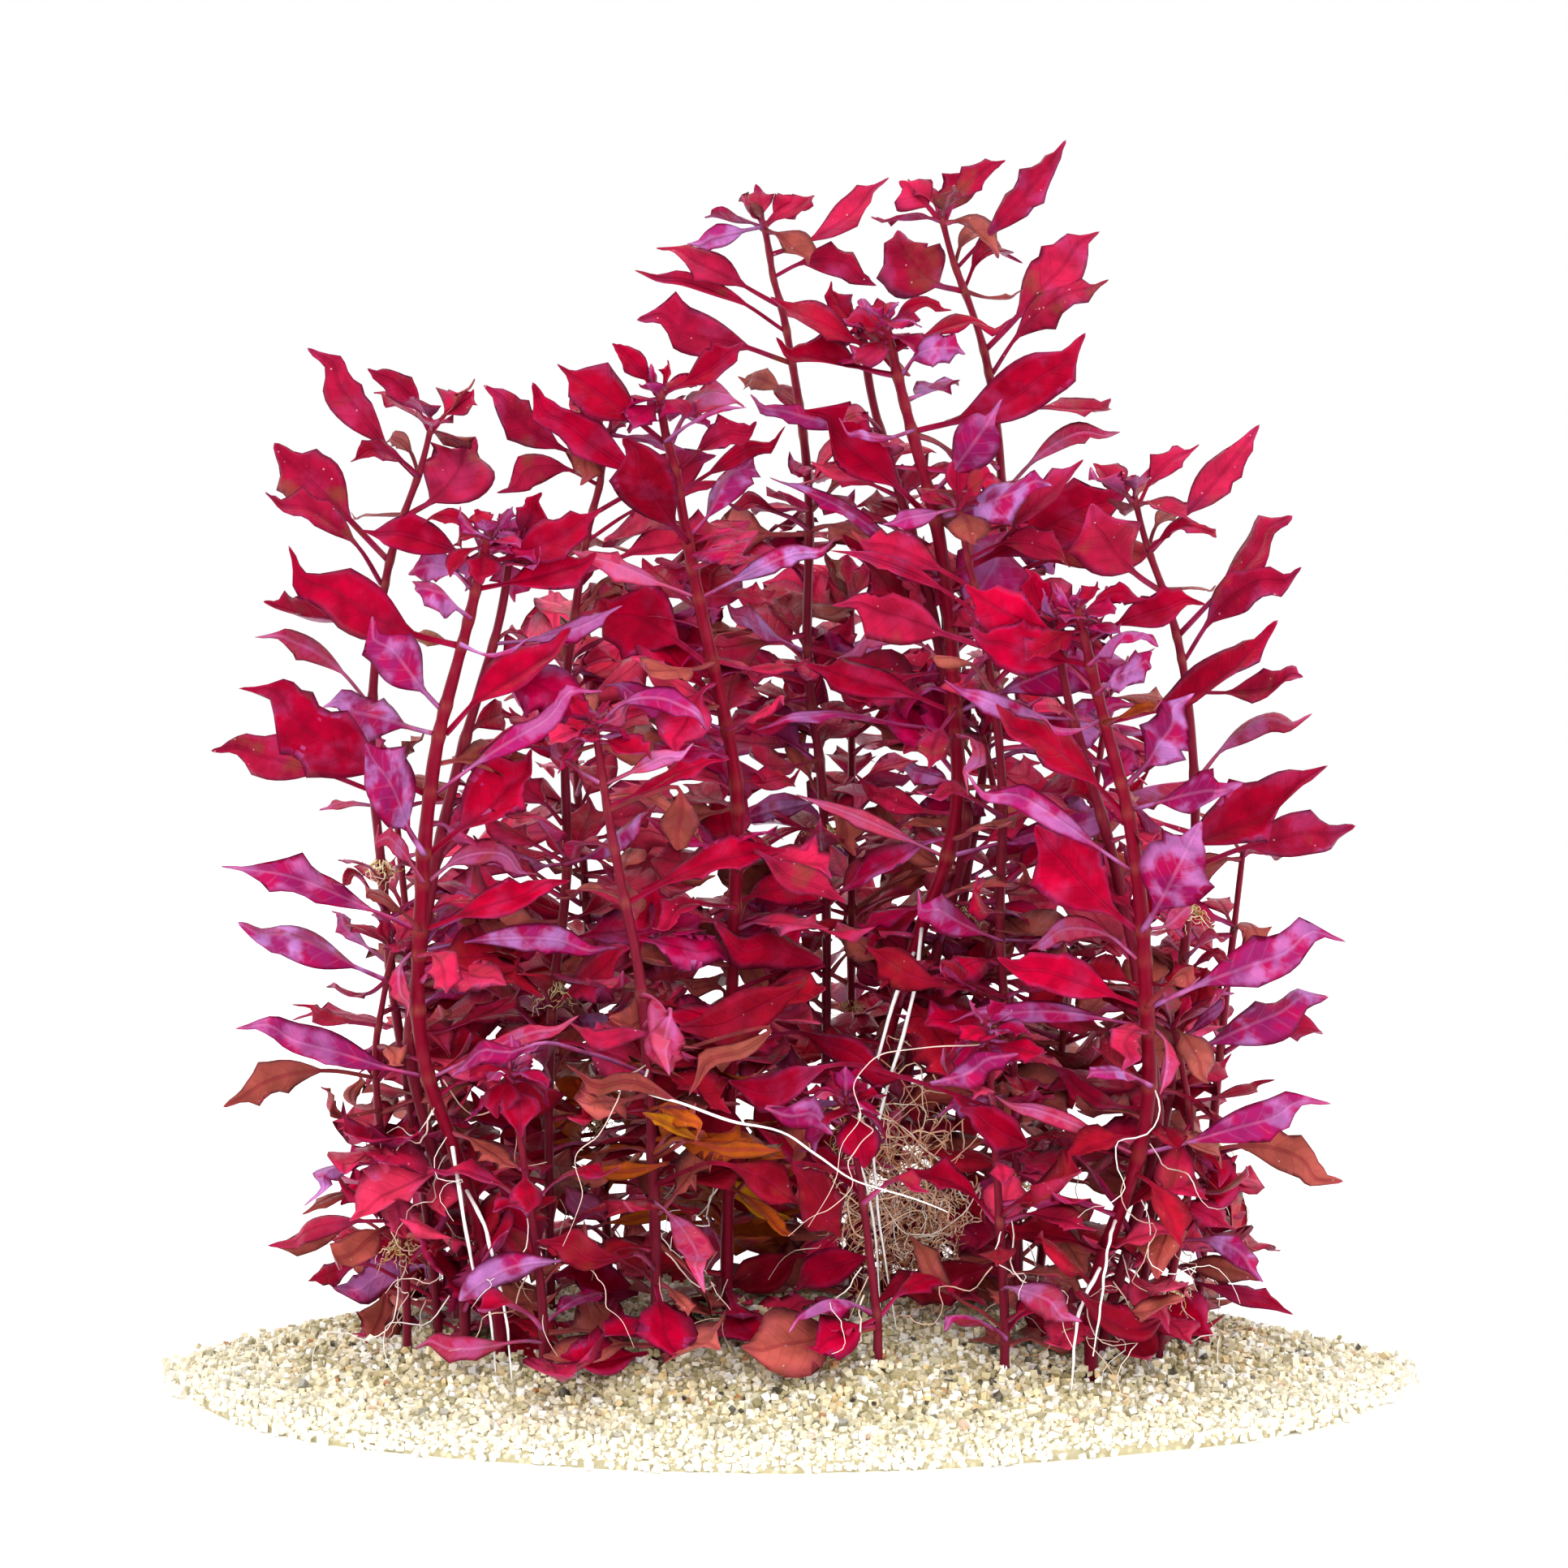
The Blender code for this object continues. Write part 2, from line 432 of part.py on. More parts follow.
class Shoot:
    """A four-sided stem with a pair of leaves at each of its nodes, as one body."""

    def __init__(self, name, stem, half, seed):
        """Keep the stem's line, given as (v, u, depth) from the top down, and its half width."""
        self.name = name
        self.half = half
        self.random = np.random.default_rng(seed)
        drawn = smooth_line(stem)[::-1]
        world = np.array([seen_at(u, v, depth) for v, u, depth in drawn])
        keep = world[:, 2] > mound_height(world[0][0], world[0][1])
        foot = world[keep][0]
        ground = mound_height(foot[0], foot[1])
        under = np.array((foot[0], foot[1], ground - SOCKET_DEPTH + SOCKET_GAP))
        level = np.array((foot[0], foot[1], ground + 1.0))
        above = world[world[:, 2] > ground + 2.5]
        self.line = np.vstack((under, level, above))
        self.leaves = []

    def top(self):
        """The height of the stem's end."""
        return self.line[-1][2]

    def at(self, height):
        """The middle of the stem at a height."""
        return np.array((np.interp(height, self.line[:, 2], self.line[:, 0]),
                         np.interp(height, self.line[:, 2], self.line[:, 1]), height))

    def half_at(self, height):
        """Half the stem's thickness at a height: a little thinner near the top."""
        share = (self.top() - height) / 40.0
        return self.half * (0.62 + 0.38 * min(1.0, max(0.0, share)))

    def corners(self, height):
        """The stem's four corners at a height, counter-clockwise from the front right."""
        centre, half = self.at(height), self.half_at(height)
        return [centre + half * np.array((sx, sy, 0.0)) for sx, sy in CORNER_WAYS]

    def side_for(self, leaf, height):
        """The free side of the stem that faces the leaf best, or None."""
        taken = {other.side for other in self.leaves if abs(other.height - height) < 0.01}
        wanted = unit(leaf.middle - self.at(height))
        scores = (wanted[0], wanted[1], -wanted[0], -wanted[1])
        free = [side for side in range(4) if side not in taken]
        best = max(free, key=lambda side: scores[side], default=None)
        return best if best is not None and scores[best] > OUTWARD_SHARE else None

    def attach(self, leaf, height, side):
        """Set the leaf's base in the middle of one side of the stem."""
        leaf.height, leaf.side, leaf.half = height, side, self.half_at(height)
        leaf.base = self.at(height) + leaf.half * leaf.outward()
        return True

    def seat(self, leaf):
        """Put the leaf's base at the nearest node with a free side, and say whether one is."""
        leaf.wanted = leaf.height if leaf.wanted is None else leaf.wanted
        lowest = self.line[1][2] + LOWEST_SEAT
        highest = self.top() - HIGHEST_SEAT
        heights = sorted({other.height for other in self.leaves})
        wanted = min(highest, max(lowest, leaf.wanted))
        places = sorted(heights, key=lambda height: abs(height - wanted))
        for height in places:
            if abs(height - wanted) < NODE_SPACING:
                side = self.side_for(leaf, height)
                if side is not None:
                    return self.attach(leaf, height, side)
        for shift in SEAT_SHIFTS:
            height = wanted + shift
            clear = all(abs(other - height) >= NODE_SPACING for other in heights)
            if clear and lowest <= height <= highest:
                side = self.side_for(leaf, height)
                if side is not None:
                    return self.attach(leaf, height, side)
        return False

    def ring_heights(self):
        """Heights of the stem's rings: two at each node, and one where the stem runs long."""
        nodes = sorted({leaf.height for leaf in self.leaves})
        heights = [self.line[0][2], self.line[1][2]]
        for node in nodes:
            heights += [node - NODE_HEIGHT / 2, node + NODE_HEIGHT / 2]
        if self.top() > heights[-1] + 0.25:
            heights.append(self.top())
        filled = [heights[0]]
        for height in heights[1:]:
            gap = height - filled[-1]
            steps = max(1, round(gap / STEM_STEP))
            filled += [filled[-1] + gap * (k + 1) / steps for k in range(steps)]
        return filled

    def mesh_data(self):
        """Vertices and faces of the whole shoot, and the leaf that owns each face, if one does."""
        verts, faces, owners = [], [], []
        heights = self.ring_heights()
        for height in heights:
            verts += self.corners(height)
        seats = {}
        for leaf in self.leaves:
            foot = leaf.height - NODE_HEIGHT / 2
            seats[(min(range(len(heights)), key=lambda k: abs(heights[k] - foot)), leaf.side)] = leaf
        faces += [[3, 2, 1], [3, 1, 0]]
        owners += [None, None]
        for ring in range(len(heights) - 1):
            for side in range(4):
                a = ring * 4 + side
                b = ring * 4 + (side + 1) % 4
                border = [a, b, b + 4, a + 4]
                leaf = seats.get((ring, side))
                if leaf:
                    add_leaf(verts, faces, border, leaf)
                else:
                    faces += [[a, b, b + 4], [a, b + 4, a + 4]]
                owners += [leaf] * (len(faces) - len(owners))
        last = (len(heights) - 1) * 4
        faces += [[last, last + 1, last + 2], [last, last + 2, last + 3]]
        owners += [None, None]
        return verts, faces, owners

    def crossed_by(self, leaf):
        """Whether one more leaf would make the shoot's own surface cross itself."""
        self.leaves.append(leaf)
        verts, faces, owners = self.mesh_data()
        self.leaves.pop()
        points = [Vector(p) for p in verts]
        tree = BVHTree.FromPolygons(points, faces)
        own = [face for face, owner in zip(faces, owners) if owner is leaf]
        for i, j in BVHTree.FromPolygons(points, own).overlap(tree):
            if faces[j] != own[i] and faces_cross(points, own[i], faces[j]):
                return True
        return False


def add_leaf(verts, faces, border, leaf, swell=0.0):
    """Grow a leaf, in triangles, from the four-cornered hole that the border goes round."""
    rings, tip = leaf.sections(swell)
    starts = []
    for ring in rings:
        starts.append(len(verts))
        verts.extend(ring)
    verts.append(tip)
    order, links = link_faces(verts, border, starts[0])
    faces.extend(links)
    before = starts[0]
    for start in starts[1:]:
        for k in range(3):
            a, b = order[k], order[(k + 1) % 3]
            faces += [[before + a, before + b, start + b], [before + a, start + b, start + a]]
        before = start
    for k in range(3):
        faces.append([before + order[k], before + order[(k + 1) % 3], len(verts) - 1])


def link_faces(verts, border, start):
    """The turn of the first section as the border goes round, and the faces that join the two."""
    corners = np.array([verts[k] for k in border])
    ring = np.array([verts[start + k] for k in range(3)])
    outward = ring.mean(0) - corners.mean(0)
    turn = np.dot(np.cross(ring[1] - ring[0], ring[2] - ring[0]), outward)
    order = [0, 1, 2] if turn > 0 else [0, 2, 1]
    return order, best_links(verts, border, [start + k for k in order])


def best_links(verts, border, ring):
    """Seven triangles between four corners and three, turned so that their edges are shortest."""
    best = None
    for turn in range(3):
        for double in range(4):
            links, length = [], 0.0
            r = turn
            for k in range(4):
                a, b = border[k], border[(k + 1) % 4]
                links.append([a, b, ring[r % 3]])
                length += np.linalg.norm(verts[a] - verts[ring[r % 3]])
                length += np.linalg.norm(verts[b] - verts[ring[r % 3]])
                if k != double:
                    links.append([b, ring[(r + 1) % 3], ring[r % 3]])
                    r += 1
            if best is None or length < best[0]:
                best = (length, links)
    return best[1]


def faces_cross(points, one, other):
    """Whether two faces that meet also cross; two that share a side don't."""
    shared = set(one) & set(other)
    if len(shared) != 1:
        return not shared
    for first, second in ((one, other), (other, one)):
        start, end = (points[k] for k in first if k not in shared)
        way = end - start
        hit = intersect_ray_tri(*(points[k] for k in second), way, start, True)
        if hit is not None and (hit - start).dot(way) < way.length_squared:
            return True
    return False


def tree_of(verts, faces):
    """A search tree over a set of faces, with the corners of its box."""
    points = np.array(verts)
    tree = BVHTree.FromPolygons([Vector(p) for p in verts], faces)
    return points.min(0), points.max(0), tree


def leaf_shell(leaf, swell):
    """The leaf's outer surface, from just outside the stem that it grows on."""
    sideways = np.cross((0.0, 0.0, 1.0), leaf.outward())
    verts = []
    for along, up in ((-1, -1), (1, -1), (1, 1), (-1, 1)):
        corner = along * leaf.half * sideways + np.array((0.0, 0.0, 0.5 * up * NODE_HEIGHT))
        verts.append(leaf.base + OUTSIDE * leaf.outward() + HOLE_SHARE * corner)
    faces = []
    add_leaf(verts, faces, [0, 1, 2, 3], leaf, swell)
    return tree_of(verts, faces)


def stem_shell(shoot):
    """The stem's outer surface."""
    heights = np.append(np.arange(shoot.line[0][2], shoot.top() - 0.5, SHELL_STEP), shoot.top())
    verts = [corner for height in heights for corner in shoot.corners(height)]
    faces = []
    for ring in range(len(heights) - 1):
        for side in range(4):
            a, b = ring * 4 + side, ring * 4 + (side + 1) % 4
            faces += [[a, b, b + 4], [a, b + 4, a + 4]]
    last = 4 * (len(heights) - 1)
    faces += [[last, last + 1, last + 2], [last, last + 2, last + 3]]
    return tree_of(verts, faces)


class Thicket:
    """All stems and leaves placed so far, so that a new leaf can keep clear of them."""

    def __init__(self):
        """Start with nothing placed."""
        self.shells = []

    def add(self, owner, shell):
        """Remember a placed shell and the shoot that owns it."""
        self.shells.append((owner, shell))

    def clear(self, shell, shoot):
        """Whether a leaf of the shoot touches nothing placed that belongs to another shoot."""
        low, high, tree = shell
        for owner, (other_low, other_high, other) in self.shells:
            if owner == shoot.name:
                continue
            if np.any(low > other_high) or np.any(high < other_low):
                continue
            if tree.overlap(other):
                return False
        return True

    def grow(self, shoot, leaf, poses):
        """Seat the leaf and take the first of its poses that keeps clear of everything."""
        for pose in poses:
            pose(leaf)
            if not shoot.seat(leaf):
                continue
            start = leaf.route[0] if leaf.route else leaf.curve(STALK_END)
            if np.dot(unit(start - leaf.base), leaf.outward()) < OUTWARD_SHARE:
                continue
            if leaf.lowest_gap() < SAND_GAP or not self.clear(leaf_shell(leaf, CLEARANCE), shoot):
                continue
            if not shoot.crossed_by(leaf):
                shoot.leaves.append(leaf)
                self.add(shoot.name, leaf_shell(leaf, 0.0))
                return True
        return False


def drawn_leaf(entry, place, depth, shoot):
    """A leaf from a table, and the depths to try for it."""
    kind, height, middle, tip, width = entry
    mid_u, mid_v = place(*middle)
    tip_u, tip_v = place(*tip)
    base_v = place(0.0, height)[1]
    base_height = seen_at(0.0, base_v, depth)[2]
    base_u = shoot.at(base_height)[0] / (1.0 + depth / VIEW_DISTANCE)
    seen = math.hypot(tip_u - base_u, tip_v - base_v)
    grown = CROWN_LEAF + min(1.0, (shoot.top() - base_height) / CROWN_DEPTH) * (FULL_LEAF - CROWN_LEAF)
    hidden = max(0.12 * seen, math.sqrt(max(0.0, grown ** 2 - seen ** 2)))
    hidden *= shoot.random.uniform(0.75, 1.0) * shoot.random.choice((-1.0, 1.0))
    face = unit(np.array((0.3 * shoot.random.uniform(-1, 1), -0.85, 0.5)))
    roll = shoot.random.uniform(-0.5, 0.5)
    leaf = Leaf(kind, base_height, seen_at(mid_u, mid_v, depth), seen_at(tip_u, tip_v, depth),
                width / math.cos(roll), face, roll)

    def pose_at(share):
        """Make a pose whose tip lies deeper or nearer by a share of the leaf's hidden reach."""
        def pose(bent):
            reach = hidden * share
            bent.middle = seen_at(mid_u, mid_v, depth + 0.45 * reach)
            bent.tip = seen_at(tip_u, tip_v, depth + reach)
        return pose

    return leaf, [pose_at(share) for share in DEPTH_SHARES]


def rule_leaf(shoot, height, turn, length, kind):
    """A leaf that follows the pairs' rule, and the turns and lengths to try for it."""
    start = shoot.at(height)
    leaf = Leaf(kind, height, start + np.array((1.0, 0.0, 0.3)), start + np.array((2.0, 0.0, 0.5)),
                0.3 * length, np.array((0.0, 0.0, 1.0)), 0.0)
    rise = shoot.random.uniform(0.12, 0.6)
    sag = shoot.random.uniform(0.1, 0.35)

    def pose_at(extra, share):
        """Make a pose turned by some degrees, with a share of the full length."""
        def pose(bent):
            angle = math.radians(turn + extra)
            way = np.array((math.cos(angle), math.sin(angle), 0.0))
            reach = length * share
            bent.middle = start + way * 0.5 * reach + np.array((0.0, 0.0, 0.55 * rise * reach))
            bent.tip = start + way * reach + np.array((0.0, 0.0, (rise - sag) * reach))
            bent.width = 0.33 * reach
            bent.face = unit(np.array((0.0, -0.25, 1.0)))
        return pose

    turns = ((0, 1), (18, 1), (-18, 1), (34, 0.9), (-34, 0.9), (0, 0.75), (26, 0.7), (-26, 0.7))
    leaf.middle = start + np.array((math.cos(math.radians(turn)), math.sin(math.radians(turn)), 0.2))
    return leaf, [pose_at(extra, share) for extra, share in turns]


def root_leaf(route, place, depth):
    """A white root from a table of its points."""
    points = [seen_at(*place(u, v), depth) for v, u in route]
    feet = mound_height(points[-1][0], points[-1][1])
    line = [point for point in points[1:] if point[2] > feet + 2.0]
    tip = np.array((line[-1][0], line[-1][1], feet + 0.6))
    return Leaf("root", points[0][2], line[0], tip, 0.5, np.array((0.0, -1.0, 0.0)), 0.0,
                route=list(line[:-1]))


def clump_place(clump):
    """The function that carries the drawn clump's (u, v) to where one copy stands."""
    def place(u, v):
        """One drawn point, shifted, and mirrored where the copy is."""
        return (clump.across - u if clump.mirrored else clump.across + u), v + clump.up
    return place


def stem_points(stem, place, foot_depth, lean):
    """The stem's points as (v, u, depth), down to just below the sand."""
    points = []
    for v, u in stem:
        placed_u, placed_v = place(u, v)
        if placed_v > FOOT_HEIGHT - 8.0:
            points.append((placed_v, placed_u, foot_depth + lean * (placed_v - FOOT_HEIGHT)))
    return points


def stand_drawn_shoots():
    """The stems of the three clumps and of the two lone shoots, each with what its leaves need."""
    tasks = []
    for clump in CLUMPS:
        place = clump_place(clump)
        for name, stem, leaves, behind, half in CLUMP_SHOOTS:
            depth = clump.depth + behind
            points = stem_points(stem, place, depth, clump.lean)
            shoot = Shoot(clump.name + "_" + name, points, half, len(tasks) + 1)
            tasks.append((shoot, leaves, place, depth, clump.lean))
    place = clump_place(CLUMPS[-1])
    for name, stem, leaves, depth, half in LONE_SHOOTS:
        shoot = Shoot(name, stem_points(stem, place, depth, LONE_LEAN), half, len(tasks) + 1)
        tasks.append((shoot, leaves, place, depth, LONE_LEAN))
    return tasks


def stand_grown_shoots():
    """The stems of the shoots that are grown by rule."""
    shoots = []
    for number, (name, (foot_u, depth), (top_u, top_v), _length) in enumerate(GROWN_SHOOTS):
        bend_u = foot_u * 0.6 + top_u * 0.4
        bend_v = (FOOT_HEIGHT + top_v) / 2.0
        stem = ((top_v, top_u, depth), (bend_v, bend_u, depth), (FOOT_HEIGHT, foot_u, depth))
        shoots.append(Shoot(name, stem, THIN_STEM, 100 + number))
    return shoots


def grow_drawn_leaves(tasks, thicket):
    """Grow the leaves of the tables; those that would lie in the sand are left out."""
    for shoot, leaves, place, depth, lean in tasks:
        for entry in leaves:
            height = place(0.0, entry[1])[1]
            tip_height = place(*entry[3])[1]
            if min(height, tip_height) > DROP_HEIGHT:
                leaf, poses = drawn_leaf(entry, place, depth + lean * (height - FOOT_HEIGHT), shoot)
                thicket.grow(shoot, leaf, poses)


def grow_roots(shoots, thicket):
    """Hang the white roots from the front shoot of each clump."""
    for clump, roots in zip(CLUMPS, (COPY_ROOTS, COPY_ROOTS, FRONT_ROOTS)):
        shoot = next(s for s in shoots if s.name == clump.name + "_front_shoot")
        before = ROOTS_BEFORE[clump.name]
        for number, route in enumerate(roots):
            depth = shoot.line[0][1] - before - 2.2 * number
            thicket.grow(shoot, root_leaf(route, clump_place(clump), depth), [lambda bent: None])


def grow_rule_leaves(shoot, thicket, first_length, spacing):
    """Give a stem pairs of leaves that turn by a quarter from node to node, closer at its top."""
    height = shoot.line[1][2] + 4.0 + shoot.random.uniform(0.0, 3.0)
    turn = shoot.random.uniform(0.0, 90.0)
    while height < shoot.top() - 0.6:
        left = shoot.top() - height
        young = max(0.0, 1.0 - left / 20.0)
        length = first_length * (1.0 - 0.55 * young)
        kind = "brown" if height < 26.0 else ("dusty", "crimson", "violet")[int(turn / 90) % 3]
        for half_turn in (0.0, 180.0):
            leaf, poses = rule_leaf(shoot, height, turn + half_turn, length, kind)
            thicket.grow(shoot, leaf, poses)
        turn += 90.0 + shoot.random.uniform(-16.0, 16.0)
        height += spacing * (1.0 - 0.62 * young) * shoot.random.uniform(0.9, 1.1)


def make_material(kind):
    """A plain Principled material for one kind of surface."""
    material = bpy.data.materials.new("quartz_sand" if kind == "sand" else "ludwigia_" + kind)
    material.use_nodes = True
    shader = next(node for node in material.node_tree.nodes if node.type == "BSDF_PRINCIPLED")
    shader.inputs["Base Color"].default_value = (*COLOURS[kind], 1.0)
    shader.inputs["Roughness"].default_value = SAND_ROUGHNESS if kind == "sand" else PLANT_ROUGHNESS
    return material


def put_mesh(name, verts, faces, material_list, slots=None):
    """An object at the origin from millimetre vertices, its faces cut into triangles."""
    mesh = bpy.data.meshes.new(name)
    mesh.from_pydata([tuple(np.array(v) * MM) for v in verts], [], faces)
    for material in material_list:
        mesh.materials.append(material)
    if slots:
        mesh.polygons.foreach_set("material_index", slots)
    body = bmesh.new()
    body.from_mesh(mesh)
    bmesh.ops.triangulate(body, faces=body.faces[:])
    body.to_mesh(mesh)
    body.free()
    thing = bpy.data.objects.new(name, mesh)
    bpy.context.scene.collection.objects.link(thing)
    return thing


def make_shoot(shoot, materials):
    """The shoot's object, with a material for each kind of leaf."""
    verts, faces, owners = shoot.mesh_data()
    kinds = [leaf.kind if leaf else "stem" for leaf in owners]
    used = sorted(set(kinds))
    return put_mesh(shoot.name, verts, faces, [materials[kind] for kind in used],
                    [used.index(kind) for kind in kinds])


def mound_data():
    """Vertices and faces of the heap: rings from the rim to the top, and a flat underside."""
    verts, faces = [], []
    angles = [2 * math.pi * k / MOUND_SIDES for k in range(MOUND_SIDES)]
    shares = (1.0, 1.0) + MOUND_RINGS
    for ring, share in enumerate(shares):
        for angle in angles:
            wobble = 1.0 + 0.018 * math.sin(3 * angle + 0.6) + 0.012 * math.sin(7 * angle)
            x = MOUND_HALF_LENGTH * share * wobble * math.cos(angle)
            y = MOUND_HALF_DEPTH * share * wobble * math.sin(angle)
            ripple = 0.35 * math.sin(0.09 * x + 0.05 * y) * (1.0 - share)
            verts.append((x, y, 0.0 if ring == 0 else mound_height(x, y) + ripple))
    for ring in range(len(shares) - 1):
        for k in range(MOUND_SIDES):
            a, b = ring * MOUND_SIDES + k, ring * MOUND_SIDES + (k + 1) % MOUND_SIDES
            faces.append([a, b, b + MOUND_SIDES, a + MOUND_SIDES])
    last = (len(shares) - 1) * MOUND_SIDES
    verts.append((0.0, 0.0, mound_height(0.0, 0.0)))
    faces += [[last + k, last + (k + 1) % MOUND_SIDES, len(verts) - 1] for k in range(MOUND_SIDES)]
    faces.append(list(range(MOUND_SIDES))[::-1])
    return verts, faces


def socket_data(shoots):
    """Vertices and faces of one square post for each stem's foot, a little wider than the stem."""
    verts, faces = [], []
    for shoot in shoots:
        foot = shoot.line[0]
        half = shoot.half_at(foot[2]) + SOCKET_GAP
        start = len(verts)
        for z in (foot[2] - SOCKET_GAP, MOUND_HEIGHT + SOCKET_DEPTH):
            verts += [(foot[0] + sx * half, foot[1] + sy * half, z) for sx, sy in CORNER_WAYS]
        faces.append([start + 3, start + 2, start + 1, start])
        faces.append([start + 4, start + 5, start + 6, start + 7])
        for side in range(4):
            a, b = start + side, start + (side + 1) % 4
            faces.append([a, b, b + 4, a + 4])
    return verts, faces


def make_mound(shoots, material):
    """The heap of sand: a low dome on a flat underside, with a socket for every stem."""
    mound = put_mesh("sand_mound", *mound_data(), [material])
    cutter = put_mesh("socket_cutter", *socket_data(shoots), [])
    cutter.hide_render = True
    cutter.display_type = "WIRE"
    cut = mound.modifiers.new("sockets", "BOOLEAN")
    cut.operation = "DIFFERENCE"
    cut.object = cutter
    return mound


def tangle_data():
    """Vertices and faces of a lumpy upright pad of fine roots, ring by ring from its foot."""
    verts = []
    for level in range(TANGLE_LEVELS):
        v = TANGLE_REACH * (2.0 * level / (TANGLE_LEVELS - 1) - 1.0)
        wide = math.sqrt(1.0 - v * v)
        for k in range(TANGLE_SIDES):
            angle = 2 * math.pi * k / TANGLE_SIDES
            lump = 1.0 + 0.12 * math.sin(3 * angle + 2.1 * level) + 0.08 * math.cos(5 * angle - level)
            verts.append((TANGLE_CENTRE[0] + TANGLE_HALF[0] * wide * lump * math.cos(angle),
                          TANGLE_CENTRE[1] + TANGLE_HALF[1] * wide * lump * math.sin(angle),
                          TANGLE_CENTRE[2] + TANGLE_HALF[2] * v))
    faces = [list(range(TANGLE_SIDES))[::-1]]
    for level in range(TANGLE_LEVELS - 1):
        for k in range(TANGLE_SIDES):
            a, b = level * TANGLE_SIDES + k, level * TANGLE_SIDES + (k + 1) % TANGLE_SIDES
            faces.append([a, b, b + TANGLE_SIDES, a + TANGLE_SIDES])
    faces.append([(TANGLE_LEVELS - 1) * TANGLE_SIDES + k for k in range(TANGLE_SIDES)])
    return verts, faces


def main():
    """Lay out the plant, then make its objects."""
    for old in list(bpy.data.objects):
        bpy.data.objects.remove(old, do_unlink=True)
    tasks = stand_drawn_shoots()
    grown = stand_grown_shoots()
    shoots = [task[0] for task in tasks] + grown
    thicket = Thicket()
    for shoot in shoots:
        thicket.add(shoot.name, stem_shell(shoot))
    tangle_verts, tangle_faces = tangle_data()
    thicket.add("root_tangle", tree_of(tangle_verts, tangle_faces))
    grow_drawn_leaves(tasks, thicket)
    grow_roots(shoots, thicket)
    for shoot, entry in zip(grown, GROWN_SHOOTS):
        grow_rule_leaves(shoot, thicket, entry[3], NODE_STEP)
    materials = {kind: make_material(kind) for kind in COLOURS}
    for shoot in shoots:
        make_shoot(shoot, materials)
    make_mound(shoots, materials["sand"])
    put_mesh("root_tangle", tangle_verts, tangle_faces, [materials["root"]])


main()
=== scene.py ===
"""Planted group of super red mini ludwigia in a heap of loose sand, dressed for its render.

The stems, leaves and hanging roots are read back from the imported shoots, so that each dressed one
lies where its solid one does. Small leaves, crowns, fine roots and the grains of sand are added on
them. Lengths are millimetres in this file, and become metres when a mesh is made.
"""

import logging
import math
from collections.abc import Callable
from dataclasses import dataclass, field, replace
from enum import Enum
from functools import partial

import bpy
import numpy as np
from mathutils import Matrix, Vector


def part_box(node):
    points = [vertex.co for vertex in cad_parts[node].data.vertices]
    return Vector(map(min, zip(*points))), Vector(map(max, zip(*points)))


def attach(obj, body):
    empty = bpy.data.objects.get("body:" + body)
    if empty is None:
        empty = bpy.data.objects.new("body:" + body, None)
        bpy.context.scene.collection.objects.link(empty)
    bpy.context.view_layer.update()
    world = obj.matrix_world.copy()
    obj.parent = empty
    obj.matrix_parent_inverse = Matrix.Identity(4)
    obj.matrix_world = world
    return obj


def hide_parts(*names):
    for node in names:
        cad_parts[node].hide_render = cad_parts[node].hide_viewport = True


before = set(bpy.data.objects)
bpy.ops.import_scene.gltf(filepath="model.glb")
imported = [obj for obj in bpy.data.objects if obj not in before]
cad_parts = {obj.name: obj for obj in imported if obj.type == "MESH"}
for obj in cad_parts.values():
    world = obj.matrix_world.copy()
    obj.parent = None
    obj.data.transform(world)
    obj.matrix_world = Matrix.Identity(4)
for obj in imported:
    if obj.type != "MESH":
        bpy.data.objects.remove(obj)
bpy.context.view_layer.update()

Array = np.ndarray
Rng = np.random.Generator
LOG = logging.getLogger("ludwigia")
# The photograph looks down by the tilt on the group's middle, from the eye's reach before it.
TILT = math.radians(7.0)
EYE = np.array([0.0, -math.cos(TILT), math.sin(TILT)])
EYE_REACH = 900.0
MIDDLE_HEIGHT = 90.5
UP = np.array([0.0, 0.0, 1.0])
# Random angles are drawn up to this, about a whole turn.
TURN = 6.3
# The heap of sand: half its length and depth, its edge, its rise over that, and its slope's power.
HEAP_HALF = (92.0, 56.0)
HEAP_EDGE = 0.8
HEAP_RISE = 12.2
HEAP_SLOPE = 2.2
# The photograph shows the right clump as the centre one moved, and the left one as its mirror image.
RIGHT_SHIFT = (28.6, -42.8)
LEFT_SHIFT = (-28.7, -31.8)


class Kind(Enum):
    """What a leaf shows in the photograph."""

    CRIMSON = "crimson"
    VIOLET = "violet"
    DUSTY = "dusty"
    PINK = "pink"
    BROWN = "brown"
    DEEP = "deep red"
    RUST = "rust"
    AMBER = "amber"


# Places in the photograph are millimetres across from its middle and up from the ground there.
# These are the tips of each shoot's leaves by kind, for the shoots that stand alone and for the
# centre clump, which the other two clumps follow.
FRONT_TIPS = {
    Kind.CRIMSON: (
        (-2, 161.2), (-1.2, 155), (24.6, 159), (33.6, 158.2), (44.2, 156), (2.6, 144.2),
        (51.8, 135.3), (8.6, 126.8), (3, 107.6),
    ),
    Kind.VIOLET: (
        (5, 157.5), (6.4, 153.9), (26.6, 152), (25.6, 149), (11.2, 161.2), (18.9, 161.2),
        (8, 142.5), (39.4, 132.8), (32, 145.5), (-2.2, 134.9), (33.2, 127.4), (54.8, 109.8),
        (16.4, 91), (52.9, 86.3),
    ),
    Kind.RUST: ((27.2, 144.6),),
    Kind.PINK: ((31.3, 116), (7.6, 108.4), (27.3, 88), (1.7, 88.3)),
    Kind.BROWN: ((33.2, 105.6),),
    Kind.DUSTY: ((21.4, 92),),
}
